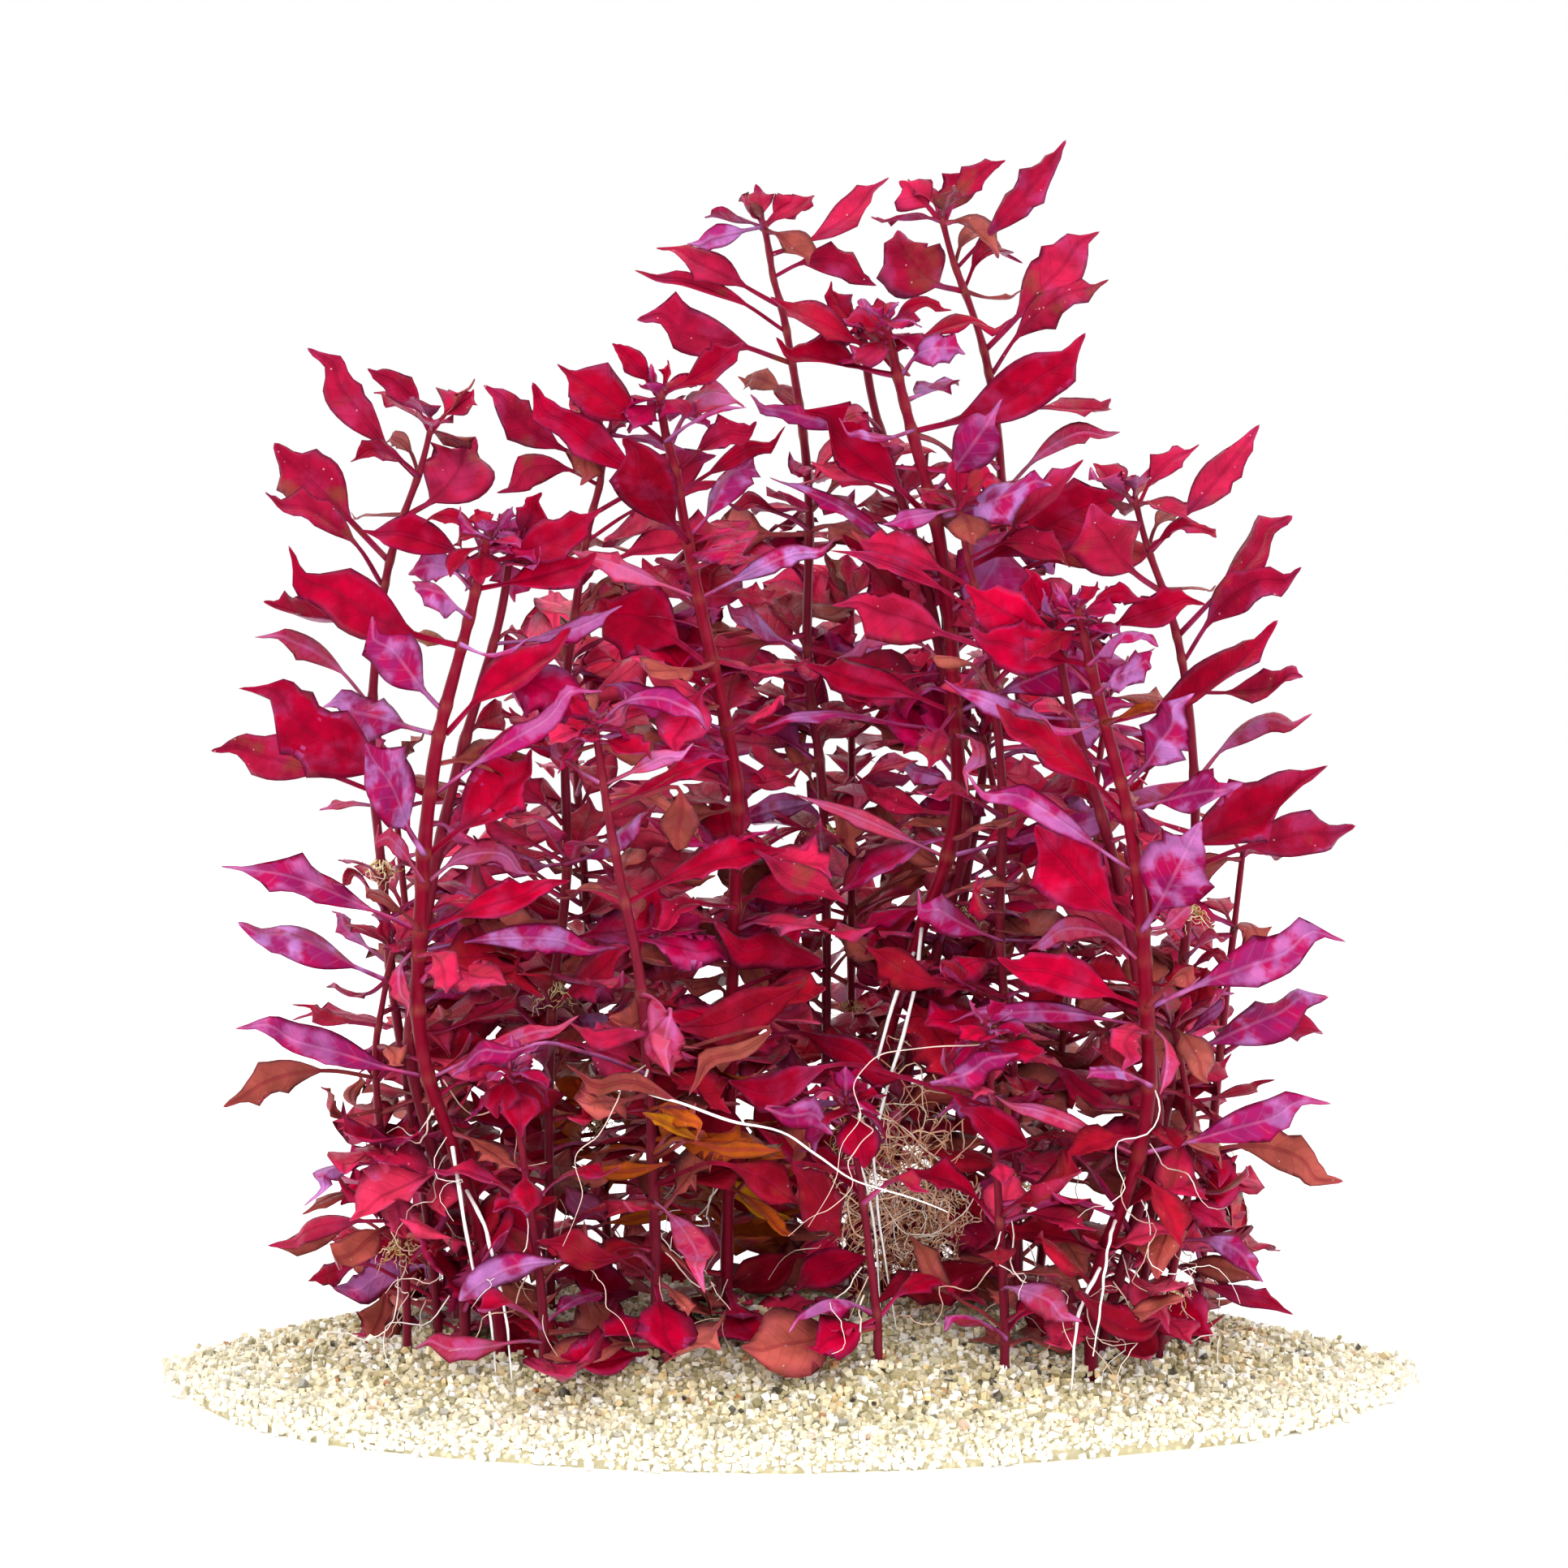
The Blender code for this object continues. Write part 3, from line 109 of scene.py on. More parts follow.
SECOND_TIPS = {
    Kind.VIOLET: ((16.2, 160.6), (9.4, 160.6), (-5, 147.6), (-4.3, 97.7)),
    Kind.CRIMSON: ((6.9, 163.7), (10.4, 131.4)),
    Kind.DUSTY: ((8.6, 142.2), (10.5, 91.4)),
}
TALL_TIPS = {
    Kind.DUSTY: (
        (16.8, 179.2), (32.4, 181.9), (18.2, 181), (41.2, 184.8), (16.6, 172.8), (46.2, 171.4),
        (47.6, 163.8), (48, 147.9), (56, 126.5),
    ),
    Kind.BROWN: ((29.8, 171.9), (35, 162)),
    Kind.CRIMSON: ((35, 168), (38, 107.4)),
    Kind.PINK: ((49.4, 142.8), (37.4, 110.7), (26.6, 108.4)),
    Kind.VIOLET: ((38.4, 102.6),),
}
LEANING_TIPS = {
    Kind.DUSTY: (
        (2.4, 176.9), (-5.6, 175.8), (15.4, 179.8), (13.6, 164.2), (-18.8, 169.8),
        (-21.9, 166.6), (-21.6, 158.8), (-9, 131.6), (-4.8, 94.8),
    ),
    Kind.VIOLET: ((-14.2, 170.4), (-8.8, 117.6), (16, 112.6), (-6, 84.4)),
    Kind.BROWN: ((-6.8, 151.8),),
    Kind.CRIMSON: ((-2, 150.6), (0.2, 119.8), (-5.2, 105.6)),
}
SIDE_TIPS = {
    Kind.DUSTY: ((31.6, 102), (26.4, 101), (38, 93), (48.4, 53.3)),
    Kind.VIOLET: ((52.3, 101.6), (43, 61)),
    Kind.CRIMSON: ((44.5, 89),),
    Kind.BROWN: ((54.8, 74.5), (34.6, 78.4), (40.2, 78.2), (43.2, 59.6), (37.6, 51.6)),
}
INNER_TIPS = {
    Kind.CRIMSON: (
        (-25.2, 153.6), (-6, 153.6), (-33.3, 150.6), (-36.9, 147.9), (0.2, 142.3),
        (-23.6, 139.4), (-27.3, 117), (2.6, 92.4), (6.4, 73.6),
    ),
    Kind.PINK: ((-5.8, 144.6), (-31.2, 123.4)),
    Kind.VIOLET: ((-5.4, 143.9), (-4.6, 138.6), (8, 126), (-27, 104.2)),
    Kind.DUSTY: ((-4, 142), (-5.2, 122), (-1.2, 118.6), (4, 108.6), (0, 101), (-19.6, 69.2)),
    Kind.BROWN: ((-20.6, 107.4), (-18.6, 87.6)),
    Kind.RUST: ((-0.6, 38), (1.6, 24.8)),
}
LOW_TIPS = {
    Kind.VIOLET: ((-11.2, 97.4), (-37, 100)),
    Kind.PINK: ((-23.6, 103.2), (-13.3, 95.7), (-36.2, 97), (-17, 48.6), (-11.8, 17.6)),
    Kind.DUSTY: ((-34.6, 95.4), (-32.4, 79.6)),
    Kind.CRIMSON: ((-8, 93.4), (0.7, 80.2), (-32.2, 25.2)),
    Kind.BROWN: ((-34, 73),),
    Kind.RUST: ((-13.2, 39.2), (-31, 34.8)),
}
TIPS = {
    "front": FRONT_TIPS,
    "second": SECOND_TIPS,
    "tall": TALL_TIPS,
    "leaning": LEANING_TIPS,
    "side": SIDE_TIPS,
    "inner": INNER_TIPS,
    "low": LOW_TIPS,
}
# Outline of what leaves fill without a gap in the photograph.
DENSE_OUTLINE = (
    (-60.0, 4.4), (-66.0, 6.4), (-71.5, 18.6), (-67.9, 33), (-64.3, 46.2), (-59.5, 64.2), (-53.5, 81),
    (-43.9, 102.6), (-37.9, 121.8), (-24.7, 129), (-7.9, 129), (4.1, 138.6), (14.9, 143.4),
    (30.5, 138.6), (40.1, 121.8), (50.9, 102.6), (56.9, 83.4), (62.9, 64.2), (64.1, 46.2),
    (70.1, 31.8), (71.3, 18.6), (66.5, 8.6), (50.0, 7.0), (34.0, 8.4), (0.0, 9.4),
    (-20.0, 8.0), (-40.0, 4.6),
)
# Leaves drawn singly: kind, where the blade starts, where its tip is, and its width.
DRAWN_LEAVES = (
    (Kind.PINK, -16.8, 57.3, -16.8, 48.8, 5.6), (Kind.PINK, -11.6, 25.0, -11.4, 16.8, 5.6),
    (Kind.PINK, -26.5, 24.8, -32.8, 30.2, 4.6), (Kind.AMBER, -13.1, 31.0, 1.3, 25.0, 3.3),
    (Kind.AMBER, -13.3, 39.4, -21.1, 43.2, 2.5), (Kind.RUST, -12.1, 38.6, -0.4, 37.8, 2.6),
    (Kind.RUST, -17.3, 35.4, -30.5, 34.9, 2.8), (Kind.RUST, -14.0, 26.4, -27.0, 24.6, 2.6),
    (Kind.BROWN, -9.5, 59.6, -15.7, 61.2, 3.2), (Kind.BROWN, -1.7, 55.4, -12.1, 68.5, 3.8),
    (Kind.CRIMSON, 2.0, 53.6, 19.7, 47.4, 4.6), (Kind.BROWN, -1.9, 54.4, -14.2, 45.4, 3.0),
    (Kind.CRIMSON, 6.4, 49.6, -8.4, 47.2, 5.6), (Kind.VIOLET, -2.7, 43.8, 7.4, 39.6, 4.6),
    (Kind.CRIMSON, 6.0, 63.4, -10.4, 70.0, 6.4), (Kind.DEEP, 3.0, 61.0, -16.0, 54.6, 7.0),
    (Kind.BROWN, -15.4, 89.0, -15.8, 80.2, 5.8), (Kind.BROWN, -15.2, 44.3, -32.4, 49.8, 3.0),
    (Kind.DUSTY, -19.9, 54.4, -31.8, 56.0, 3.4), (Kind.DEEP, -8.0, 35.6, 2.6, 29.8, 6.4),
    (Kind.DEEP, 1.2, 35.6, 8.6, 24.8, 7.2), (Kind.DEEP, 31.0, 18.6, 13.9, 14.2, 6.4),
    (Kind.BROWN, 26.0, 15.0, 18.6, 24.2, 3.8), (Kind.VIOLET, -33.4, 21.6, -48.6, 15.2, 4.8),
    (Kind.CRIMSON, -21.6, 14.0, -35.0, 16.2, 6.4), (Kind.PINK, -50.6, 7.6, -65.8, 5.0, 4.4),
    (Kind.BROWN, -59.4, 14.0, -62.6, 6.6, 7.0), (Kind.VIOLET, -54.2, 18.0, -67.4, 14.6, 6.0),
    (Kind.BROWN, -64.5, 24.6, -76.6, 21.2, 3.6), (Kind.CRIMSON, -63.6, 18.6, -71.2, 15.8, 3.6),
    (Kind.PINK, -40.0, 9.6, -55.4, 7.8, 4.0), (Kind.DEEP, 44.0, 16.4, 56.4, 12.6, 5.6),
    (Kind.CRIMSON, 62.0, 15.4, 76.2, 10.6, 3.4), (Kind.BROWN, 60.0, 18.2, 71.2, 15.8, 3.8),
    (Kind.DEEP, 2.0, 19.4, -9.0, 14.8, 6.0), (Kind.CRIMSON, 12.4, 20.6, 1.6, 15.0, 6.0),
    (Kind.PINK, 34.0, 17.6, 44.6, 13.2, 5.0), (Kind.DEEP, -24.0, 22.4, -37.0, 24.6, 5.4),
    (Kind.DUSTY, -3.0, 79.6, 9.4, 72.4, 5.0), (Kind.DEEP, 24.0, 60.6, 12.0, 66.4, 6.0),
    (Kind.VIOLET, 22.0, 47.6, 35.0, 51.4, 4.6), (Kind.CRIMSON, 36.0, 37.6, 26.0, 43.4, 5.4),
    (Kind.VIOLET, -38.0, 52.6, -49.6, 48.2, 4.6), (Kind.CRIMSON, -36.4, 40.2, -46.6, 44.4, 4.6),
)
# Roots that cross before the leaves: radius, and the places that they pass.
CROSSING_ROOTS = (
    (0.24, (-20.0, 45.8), (-15.2, 44.5), (-7.3, 41.9), (0.7, 40.0), (5.0, 37.1), (9.5, 34.0),
     (14.2, 32.4), (22.0, 30.0), (24.4, 29.0)),
    (0.27, (48.6, 24.6), (47.9, 20.5), (47.4, 16.0), (46.2, 8.0)),
    (0.11, (-24.4, 46.6), (-26.0, 42.0), (-27.4, 40.6), (-30.8, 36.8), (-30.2, 31.0), (-33.0, 24.0)),
    (0.1, (13.0, 40.0), (9.6, 36.6), (10.2, 33.4), (6.4, 29.4), (5.0, 28.8), (0.6, 25.6)),
    (0.1, (12.4, 50.0), (10.6, 47.2), (11.2, 42.4), (8.6, 39.0), (8.0, 34.4), (3.6, 27.0)),
    (0.1, (-30.0, 21.0), (-27.0, 18.6), (-26.6, 16.0), (-23.8, 12.8), (-22.4, 9.6)),
)
# Height in the photograph from which no added leaf may hide a front stem.
BARE_FROM = {
    "left_front_shoot": 12.0, "right_front_shoot": 12.0, "centre_front_shoot": 58.0,
    "inner_shoot": 88.0, "low_shoot": 58.0,
}
# Kinds that leaves take in turn up a stem, and then those that added leaves draw from.
YOUNG_KINDS = (Kind.CRIMSON, Kind.VIOLET, Kind.CRIMSON, Kind.DUSTY, Kind.PINK)
BACK_KINDS = (Kind.DUSTY, Kind.DUSTY, Kind.BROWN, Kind.DUSTY, Kind.PINK)
MIDDLE_KINDS = (
    Kind.PINK, Kind.DUSTY, Kind.CRIMSON, Kind.BROWN, Kind.PINK, Kind.DUSTY, Kind.VIOLET,
)
RUSTY_KINDS = (Kind.DEEP, Kind.RUST, Kind.BROWN, Kind.DEEP, Kind.RUST)
FOOT_KINDS = (
    Kind.DEEP, Kind.BROWN, Kind.CRIMSON, Kind.DUSTY, Kind.DEEP, Kind.PINK, Kind.CRIMSON, Kind.BROWN,
)


def linear(code: str) -> Array:
    """Turn an sRGB hex colour into linear light.

    Args:
        code: Colour such as "#B4003A".

    Returns:
        Three linear numbers from 0 to 1.
    """
    share = np.array([int(code[k : k + 2], 16) / 255 for k in (1, 3, 5)])
    return np.where(share <= 0.04045, share / 12.92, ((share + 0.055) / 1.055) ** 2.4)


def paint(code: str) -> tuple[float, float, float, float]:
    """Return a hex colour as the four numbers that a colour socket takes."""
    red, green, blue = linear(code)
    return (float(red), float(green), float(blue), 1.0)


def in_outline(places: Array) -> Array:
    """Tell whether the photograph shows the dense middle of the thicket at places.

    A place is inside when a level line from it crosses the outline an odd number of times.

    Args:
        places: Places in the photograph.

    Returns:
        Whether each place is inside.
    """
    ring = np.array(DENSE_OUTLINE, float)
    after = np.roll(ring, -1, axis=0)
    across, height = places[..., 0:1], places[..., 1:2]
    spans = (ring[:, 1] > height) != (after[:, 1] > height)
    run = np.where(after[:, 1] == ring[:, 1], 1.0, after[:, 1] - ring[:, 1])
    cut = ring[:, 0] + (height - ring[:, 1]) * (after[:, 0] - ring[:, 0]) / run
    return np.count_nonzero(spans & (cut > across), axis=-1) % 2 == 1


def heap_reach(points: Array) -> Array:
    """Return how far out points lie: the length of (x, y) over the heap's half length and depth."""
    return np.hypot(points[..., 0] / HEAP_HALF[0], points[..., 1] / HEAP_HALF[1])


def heap_height(points: Array) -> Array:
    """Return the sand's height under points: edge + rise (1 - r^slope), r being heap_reach."""
    share = np.clip(heap_reach(points), 0.0, 1.0)
    return HEAP_EDGE + HEAP_RISE * (1.0 - share**HEAP_SLOPE)


def mixed(first: Array, second: Array, share: Array | float) -> Array:
    """Return what lies a share of the way from the first value to the second."""
    return first * (1.0 - share) + second * share


def unit(vectors: Array) -> Array:
    """Return vectors scaled to length one, along their last axis."""
    return vectors / np.maximum(np.linalg.norm(vectors, axis=-1, keepdims=True), 1e-9)


def ease(share: Array) -> Array:
    """Return a smooth step: 0 below 0, 1 above 1, and 3s^2 - 2s^3 between."""
    share = np.clip(share, 0.0, 1.0)
    return share * share * (3.0 - 2.0 * share)


def seen(points: Array) -> Array:
    """Return where the photograph shows points: across, and up from the front of the sand."""
    across = points[..., 0] / (1.0 + points[..., 1] / EYE_REACH)
    height = points[..., 2] * math.cos(TILT) + points[..., 1] * math.sin(TILT)
    return np.stack([across, height], axis=-1)


def placed(across: float, height: float, depth: float) -> Array:
    """Return the point at a depth that the photograph shows at a place."""
    up = (height - depth * math.sin(TILT)) / math.cos(TILT)
    return np.array([across * (1.0 + depth / EYE_REACH), depth, up])


def chords(points: Array) -> Array:
    """Return the lengths of the straight pieces between points."""
    return np.linalg.norm(np.diff(points, axis=0), axis=1)


def around(turn: float) -> Array:
    """Return the level direction at a turn round the upright: (cos turn, sin turn, 0)."""
    return np.array([math.cos(turn), math.sin(turn), 0.0])


def smooth_line(points: Array, shares: Array) -> tuple[Array, Array]:
    """Carry a curve through points.

    Cubic Hermite pieces join the points, with the distance along the chords as parameter and the
    weighted mean of the two neighbouring chords as slope.

    Args:
        points: The points, from first to last.
        shares: Where to take the curve, from 0 at the first point to 1 at the last.

    Returns:
        The curve's points and its unit directions at those shares.
    """
    at = np.concatenate([[0.0], np.cumsum(np.maximum(chords(points), 1e-6))])
    slopes = np.gradient(points, at, axis=0)
    where = np.clip(shares, 0.0, 1.0) * at[-1]
    k = np.clip(np.searchsorted(at, where, side="right") - 1, 0, len(points) - 2)
    span = (at[k + 1] - at[k])[:, None]
    s = (where - at[k])[:, None] / span
    a, b, ma, mb = points[k], points[k + 1], slopes[k] * span, slopes[k + 1] * span
    line = (2 * s**3 - 3 * s**2 + 1) * a + (s**3 - 2 * s**2 + s) * ma
    line = line + (3 * s**2 - 2 * s**3) * b + (s**3 - s**2) * mb
    along = (6 * s**2 - 6 * s) * (a - b) + (3 * s**2 - 4 * s + 1) * ma + (3 * s**2 - 2 * s) * mb
    return line, unit(along)


@dataclass
class Patch:
    """One closed surface with its colours.

    Attributes:
        points: Vertices.
        quads: Faces of four corners.
        tris: Faces of three corners.
        tint: Linear colour and dustiness of each vertex.
        place: Each vertex's distance from the midrib, distance from the base, and side.
        share: Each vertex's share of the way to the margin and to the tip, and the leaf's strength of
            painted sheen.
        finish: Material slot.
    """

    points: Array
    quads: Array
    tris: Array
    tint: Array
    place: Array
    share: Array
    finish: int = 0


def loft(rings: Array, base: Array, tip: Array) -> tuple[Array, Array, Array]:
    """Join rings of points into a closed skin.

    Point k of ring j joins point k + 1 and ring j + 1 in a quad, and each end closes on a pole.

    Args:
        rings: Ring by ring, each running round its line so that the faces point outwards.
        base: Pole below the first ring.
        tip: Pole above the last ring.

    Returns:
        Vertices, quads and triangles.
    """
    rows, loop = rings.shape[:2]
    grid = np.arange(rows * loop).reshape(rows, loop)
    turned = np.roll(grid, -1, axis=1)
    quads = np.stack([grid[:-1], turned[:-1], turned[1:], grid[1:]], axis=-1).reshape(-1, 4)
    low = np.full(loop, rows * loop)
    foot = np.stack([low, turned[0], grid[0]], axis=-1)
    head = np.stack([low + 1, grid[-1], turned[-1]], axis=-1)
    points = np.concatenate([rings.reshape(-1, 3), base[None], tip[None]])
    return points, quads, np.concatenate([foot, head])


def with_poles(values: Array) -> Array:
    """Flatten a value per grid point, and repeat its first and last for the poles."""
    flat = values.reshape(-1, values.shape[-1])
    return np.concatenate([flat, flat[:1], flat[-1:]])


def tube(points: Array, radii: Array, sides: int, ridge: float = 0.0) -> tuple[Array, Array, Array]:
    """Carry a circle along a line.

    Each ring is the line's point plus radius times (cos a, sin a) in the plane across the line,
    the radius swells by the ridge's share four times round, and the tip ends in a blunt point.

    Args:
        points: The line.
        radii: Radius at each point.
        sides: Corners of the circle.
        ridge: Share of the radius by which the four ridges stand out.

    Returns:
        Vertices, quads and triangles.
    """
    along = unit(np.gradient(points, axis=0))
    axes = np.eye(3)
    hold = axes[np.argmin(np.abs(along @ axes).max(axis=0))]
    first = unit(hold - along * (along @ hold)[:, None])
    second = np.cross(along, first)
    turn = np.arange(sides) * 2.0 * math.pi / sides
    swell = radii[:, None] * (1.0 + ridge * np.cos(4.0 * turn))[None]
    rings = points[:, None] + swell[..., None] * (
        np.cos(turn)[None, :, None] * first[:, None] + np.sin(turn)[None, :, None] * second[:, None]
    )
    return loft(rings, points[0], points[-1] + along[-1] * radii[-1] * 0.6)


@dataclass
class PieceMesh:
    """A piece of the plant group, put together from patches.

    Attributes:
        name: The piece's name.
        patches: What it is put together from.
    """

    name: str
    patches: list[Patch] = field(default_factory=list)

    def joined(self, part: str) -> Array:
        """Return one value of all patches end to end."""
        return np.concatenate([getattr(patch, part) for patch in self.patches])

    @property
    def triangles(self) -> int:
        """Return the number of its triangles, a quad counting as two."""
        return sum(2 * len(patch.quads) + len(patch.tris) for patch in self.patches)

    def make(self, skins: list[bpy.types.Material], smooth: bool = True) -> bpy.types.Object:
        """Make the object.

        Args:
            skins: Materials, in the order of the patches' slots.
            smooth: Whether its faces are shaded as one round surface.

        Returns:
            The object, at the origin, with its place in its mesh.
        """
        starts = np.cumsum([0] + [len(patch.points) for patch in self.patches])
        points = self.joined("points")
        corners = []
        slots = []
        sides = []
        for part, count in (("quads", 4), ("tris", 3)):
            faces = [getattr(patch, part) + start for patch, start in zip(self.patches, starts)]
            corners += [face.ravel() for face in faces]
            slots += [np.full(len(face), patch.finish) for face, patch in zip(faces, self.patches)]
            sides += [np.full(len(face), count) for face in faces]
        corners = np.concatenate(corners)
        begins = np.cumsum(np.concatenate([[0]] + sides))[:-1]
        mesh = bpy.data.meshes.new(self.name)
        mesh.vertices.add(len(points))
        mesh.vertices.foreach_set("co", (points / 1000.0).astype(np.float32).ravel())
        mesh.loops.add(len(corners))
        mesh.loops.foreach_set("vertex_index", corners.astype(np.int32))
        mesh.polygons.add(len(begins))
        mesh.polygons.foreach_set("loop_start", begins.astype(np.int32))
        mesh.polygons.foreach_set("material_index", np.concatenate(slots).astype(np.int32))
        mesh.polygons.foreach_set("use_smooth", np.full(len(begins), smooth))
        tint = mesh.attributes.new("tint", "FLOAT_COLOR", "POINT")
        tint.data.foreach_set("color", self.joined("tint").astype(np.float32).ravel())
        for name in ("place", "share"):
            spot = mesh.attributes.new(name, "FLOAT_VECTOR", "POINT")
            spot.data.foreach_set("vector", self.joined(name).astype(np.float32).ravel())
        mesh.update(calc_edges=True)
        mesh.validate()
        for skin in skins:
            mesh.materials.append(skin)
        thing = bpy.data.objects.new(self.name, mesh)
        bpy.context.scene.collection.objects.link(thing)
        return thing


@dataclass(frozen=True)
class LeafTone:
    """Colours of one kind of leaf.

    Attributes:
        upper: Two colours that the upper side lies between.
        under: Two colours that the underside lies between.
        shows_under: Whether the photograph shows the underside.
        dust: How many pale specks the leaf carries, from 0 to 1.
        painted_sheen: How strongly painted lilac sheen, a highlight laid into the colour, shows on it,
            from 0 to 1.
    """

    upper: tuple[str, str]
    under: tuple[str, str]
    shows_under: bool = False
    dust: float = 0.0
    painted_sheen: float = 0.5


# Tones also say how strongly each kind shows painted lilac sheen, a highlight laid into its colour.
TONES = {
    Kind.CRIMSON: LeafTone(("#82001A", "#940024"), ("#983064", "#8C1E54"), painted_sheen=0.25),
    Kind.VIOLET: LeafTone(("#900030", "#840030"), ("#901054", "#9A2468"), shows_under=True, painted_sheen=1.0),
    Kind.DUSTY: LeafTone(("#940A2E", "#A41A3C"), ("#982E58", "#8A2248"), dust=0.8, painted_sheen=0.35),
    Kind.PINK: LeafTone(("#A01A38", "#AA2844"), ("#AE3E5A", "#A6344E"), shows_under=True, dust=0.3),
    Kind.BROWN: LeafTone(("#883C34", "#9A4C42"), ("#82403C", "#904E46"), dust=0.6, painted_sheen=0.1),
    Kind.DEEP: LeafTone(("#700416", "#840A1C"), ("#7A1624", "#86202C"), dust=0.3, painted_sheen=0.05),
    Kind.RUST: LeafTone(("#8A3A0A", "#9E4C10"), ("#783818", "#8C461C"), dust=0.2, painted_sheen=0.0),
    Kind.AMBER: LeafTone(("#B8700A", "#C48418"), ("#A06010", "#B07020"), dust=0.1, painted_sheen=0.0),
}


# Spans that a leaf's own numbers are drawn from: bare stalk as a share of its length, on young and
# on dusty leaves, places of up to three teeth on a margin, and the fold in degrees.
STALK_SPAN = (0.12, 0.23)
DUSTY_STALK_SPAN = (0.2, 0.32)
TOOTH_SPANS = (
    (), ((0.56, 0.8),), ((0.42, 0.58), (0.7, 0.86)), ((0.34, 0.44), (0.54, 0.66), (0.76, 0.88)),
)
FOLD_SPAN = (4.0, 30.0)


@dataclass
class Leaf:
    """A leaf blade on its stalk.

    Attributes:
        points: Middle line, from inside the stem to the tip.
        upward: Direction of the upper side at each point.
        width: Widest part, from margin to margin.
        kind: What it shows.
        toothed: How toothed its margins are, from 0 to 1.
        stalk: Share of its length that is bare stalk, or 0 for one of its own.
        light: Factor on its colours, over 1 as painted light for leaves that stand in others' shade.
    """

    points: Array
    upward: Array
    width: float
    kind: Kind
    toothed: float = 1.0
    stalk: float = 0.0
    light: float = 1.0

    def turned_to_view(self) -> "Leaf":
        """Return the leaf with the side that the photograph shows turned towards its front."""
        faces = float(np.mean(self.upward[1:], axis=0) @ EYE)
        wanted = -1.0 if TONES[self.kind].shows_under else 1.0
        side = 1.0 if faces * wanted >= 0.0 else -1.0
        return replace(self, upward=self.upward * side)

    def rolled_to_light(self, lean: float) -> "Leaf":
        """Return the leaf rolled on its line so that its upper side leans to the front light."""
        along = unit(np.gradient(self.points, axis=0))
        wanted = self.upward + lean * EYE
        upward = unit(wanted - along * np.sum(wanted * along, axis=1, keepdims=True))
        return replace(self, upward=upward)

    def margin(self, x: Array, rng: Rng) -> tuple[Array, Array]:
        """Shape the margins, smooth or with up to three teeth on a side.

        From each tooth at p to the next one, or to the tip, the edge is scooped in by a depth
        times sin(pi s), with s the share of the way, so that the tooth is a sharp corner. It
        bends up or down round the tooth, and past 0.7 of the blade both sides draw in to a tail.

        Args:
            x: Share of the way along the blade.
            rng: Random numbers.

        Returns:
            For each row and both sides, the width's factor, and the bend as a share of the width.
        """
        widen = np.ones((len(x), 2))
        bend = np.zeros((len(x), 2))
        tail = rng.uniform(0.05, 0.6) * ease((x - 0.7) / 0.16)
        odds = np.array((1.0 - 0.9 * self.toothed, 0.35, 0.35, 0.2))
        for side in (0, 1):
            count = int(rng.choice(4, p=odds / odds.sum()))
            places = [[rng.uniform(*span) for span in spans] for spans in TOOTH_SPANS]
            spots = [float(x[np.abs(x - spot).argmin()]) for spot in places[count]]
            lift = rng.choice([-1.0, 1.0])
            for spot, end in zip(spots, spots[1:] + [1.0]):
                way = np.clip((x - spot) / max(end - spot, 0.02), 0.0, 1.0)
                near = np.abs(x - spot)
                depth = rng.uniform(0.2, 0.42) if end == 1.0 else rng.uniform(0.1, 0.26)
                widen[:, side] -= depth * np.sin(math.pi * way)
                widen[:, side] += rng.uniform(0.02, 0.16) * np.maximum(0.0, 1.0 - near / 0.07)
                bump = np.maximum(0.0, 1.0 - near / 0.15) ** 1.3
                bend[:, side] += lift * rng.uniform(0.05, 0.45) * bump
                lift = -lift
            if spots:
                way = np.clip(x / spots[0], 0.0, 1.0)
                widen[:, side] -= rng.uniform(-0.06, 0.1) * np.sin(math.pi * way)
        return widen * (1.0 - tail[:, None]), bend

    def spine(self, t: Array, rng: Rng) -> tuple[Array, Array, Array, float]:
        """Carry the middle line and the two directions across it, twisted by a t + b sin(pi t).

        Args:
            t: Share of the way along the leaf.
            rng: Random numbers.

        Returns:
            The line, its upward and its sideways directions, and the leaf's length.
        """
        line, along = smooth_line(self.points, t)
        at = np.concatenate([[0.0], np.cumsum(chords(self.points))])
        up = np.stack([np.interp(t * at[-1], at, self.upward[:, k]) for k in range(3)], axis=-1)
        up = unit(up - along * np.sum(up * along, axis=1, keepdims=True))
        twist = rng.normal(0.0, 0.22) * (t - 0.3) + rng.normal(0.0, 0.16) * np.sin(math.pi * t)
        c, s = np.cos(twist)[:, None], np.sin(twist)[:, None]
        across = np.cross(along, up)
        return line, up * c + across * s, across * c - up * s, float(at[-1])

    def half_width(self, t: Array, rng: Rng) -> tuple[Array, Array, float]:
        """Shape the blade without its teeth.

        The half width is the larger of the stalk's and W / 2 sin(pi x^p)^q, with x the share along
        the blade, p about 1, and q falling from 1.5 at the base, which tapers, to 0.8 at the tip.

        Args:
            t: Share of the way along the leaf.
            rng: Random numbers.

        Returns:
            The half width, the share along the blade, and the stalk's share of the leaf.
        """
        dusty = TONES[self.kind].dust > 0.5
        own = rng.uniform(*(DUSTY_STALK_SPAN if dusty else STALK_SPAN))
        stalk = self.stalk or own
        x = np.clip((t - stalk) / (1.0 - stalk), 0.0, 1.0)
        neck = np.clip(0.05 * self.width, 0.26, 0.45) * (1.0 - ease(x * 3.0))
        blunt = rng.uniform(0.72, 0.9) + 0.7 * (1.0 - x) ** 2
        body = np.sin(math.pi * x ** rng.uniform(0.85, 1.15)).clip(0.0) ** blunt
        return np.maximum(body * self.width / 2.0, neck) + 0.04, x, stalk

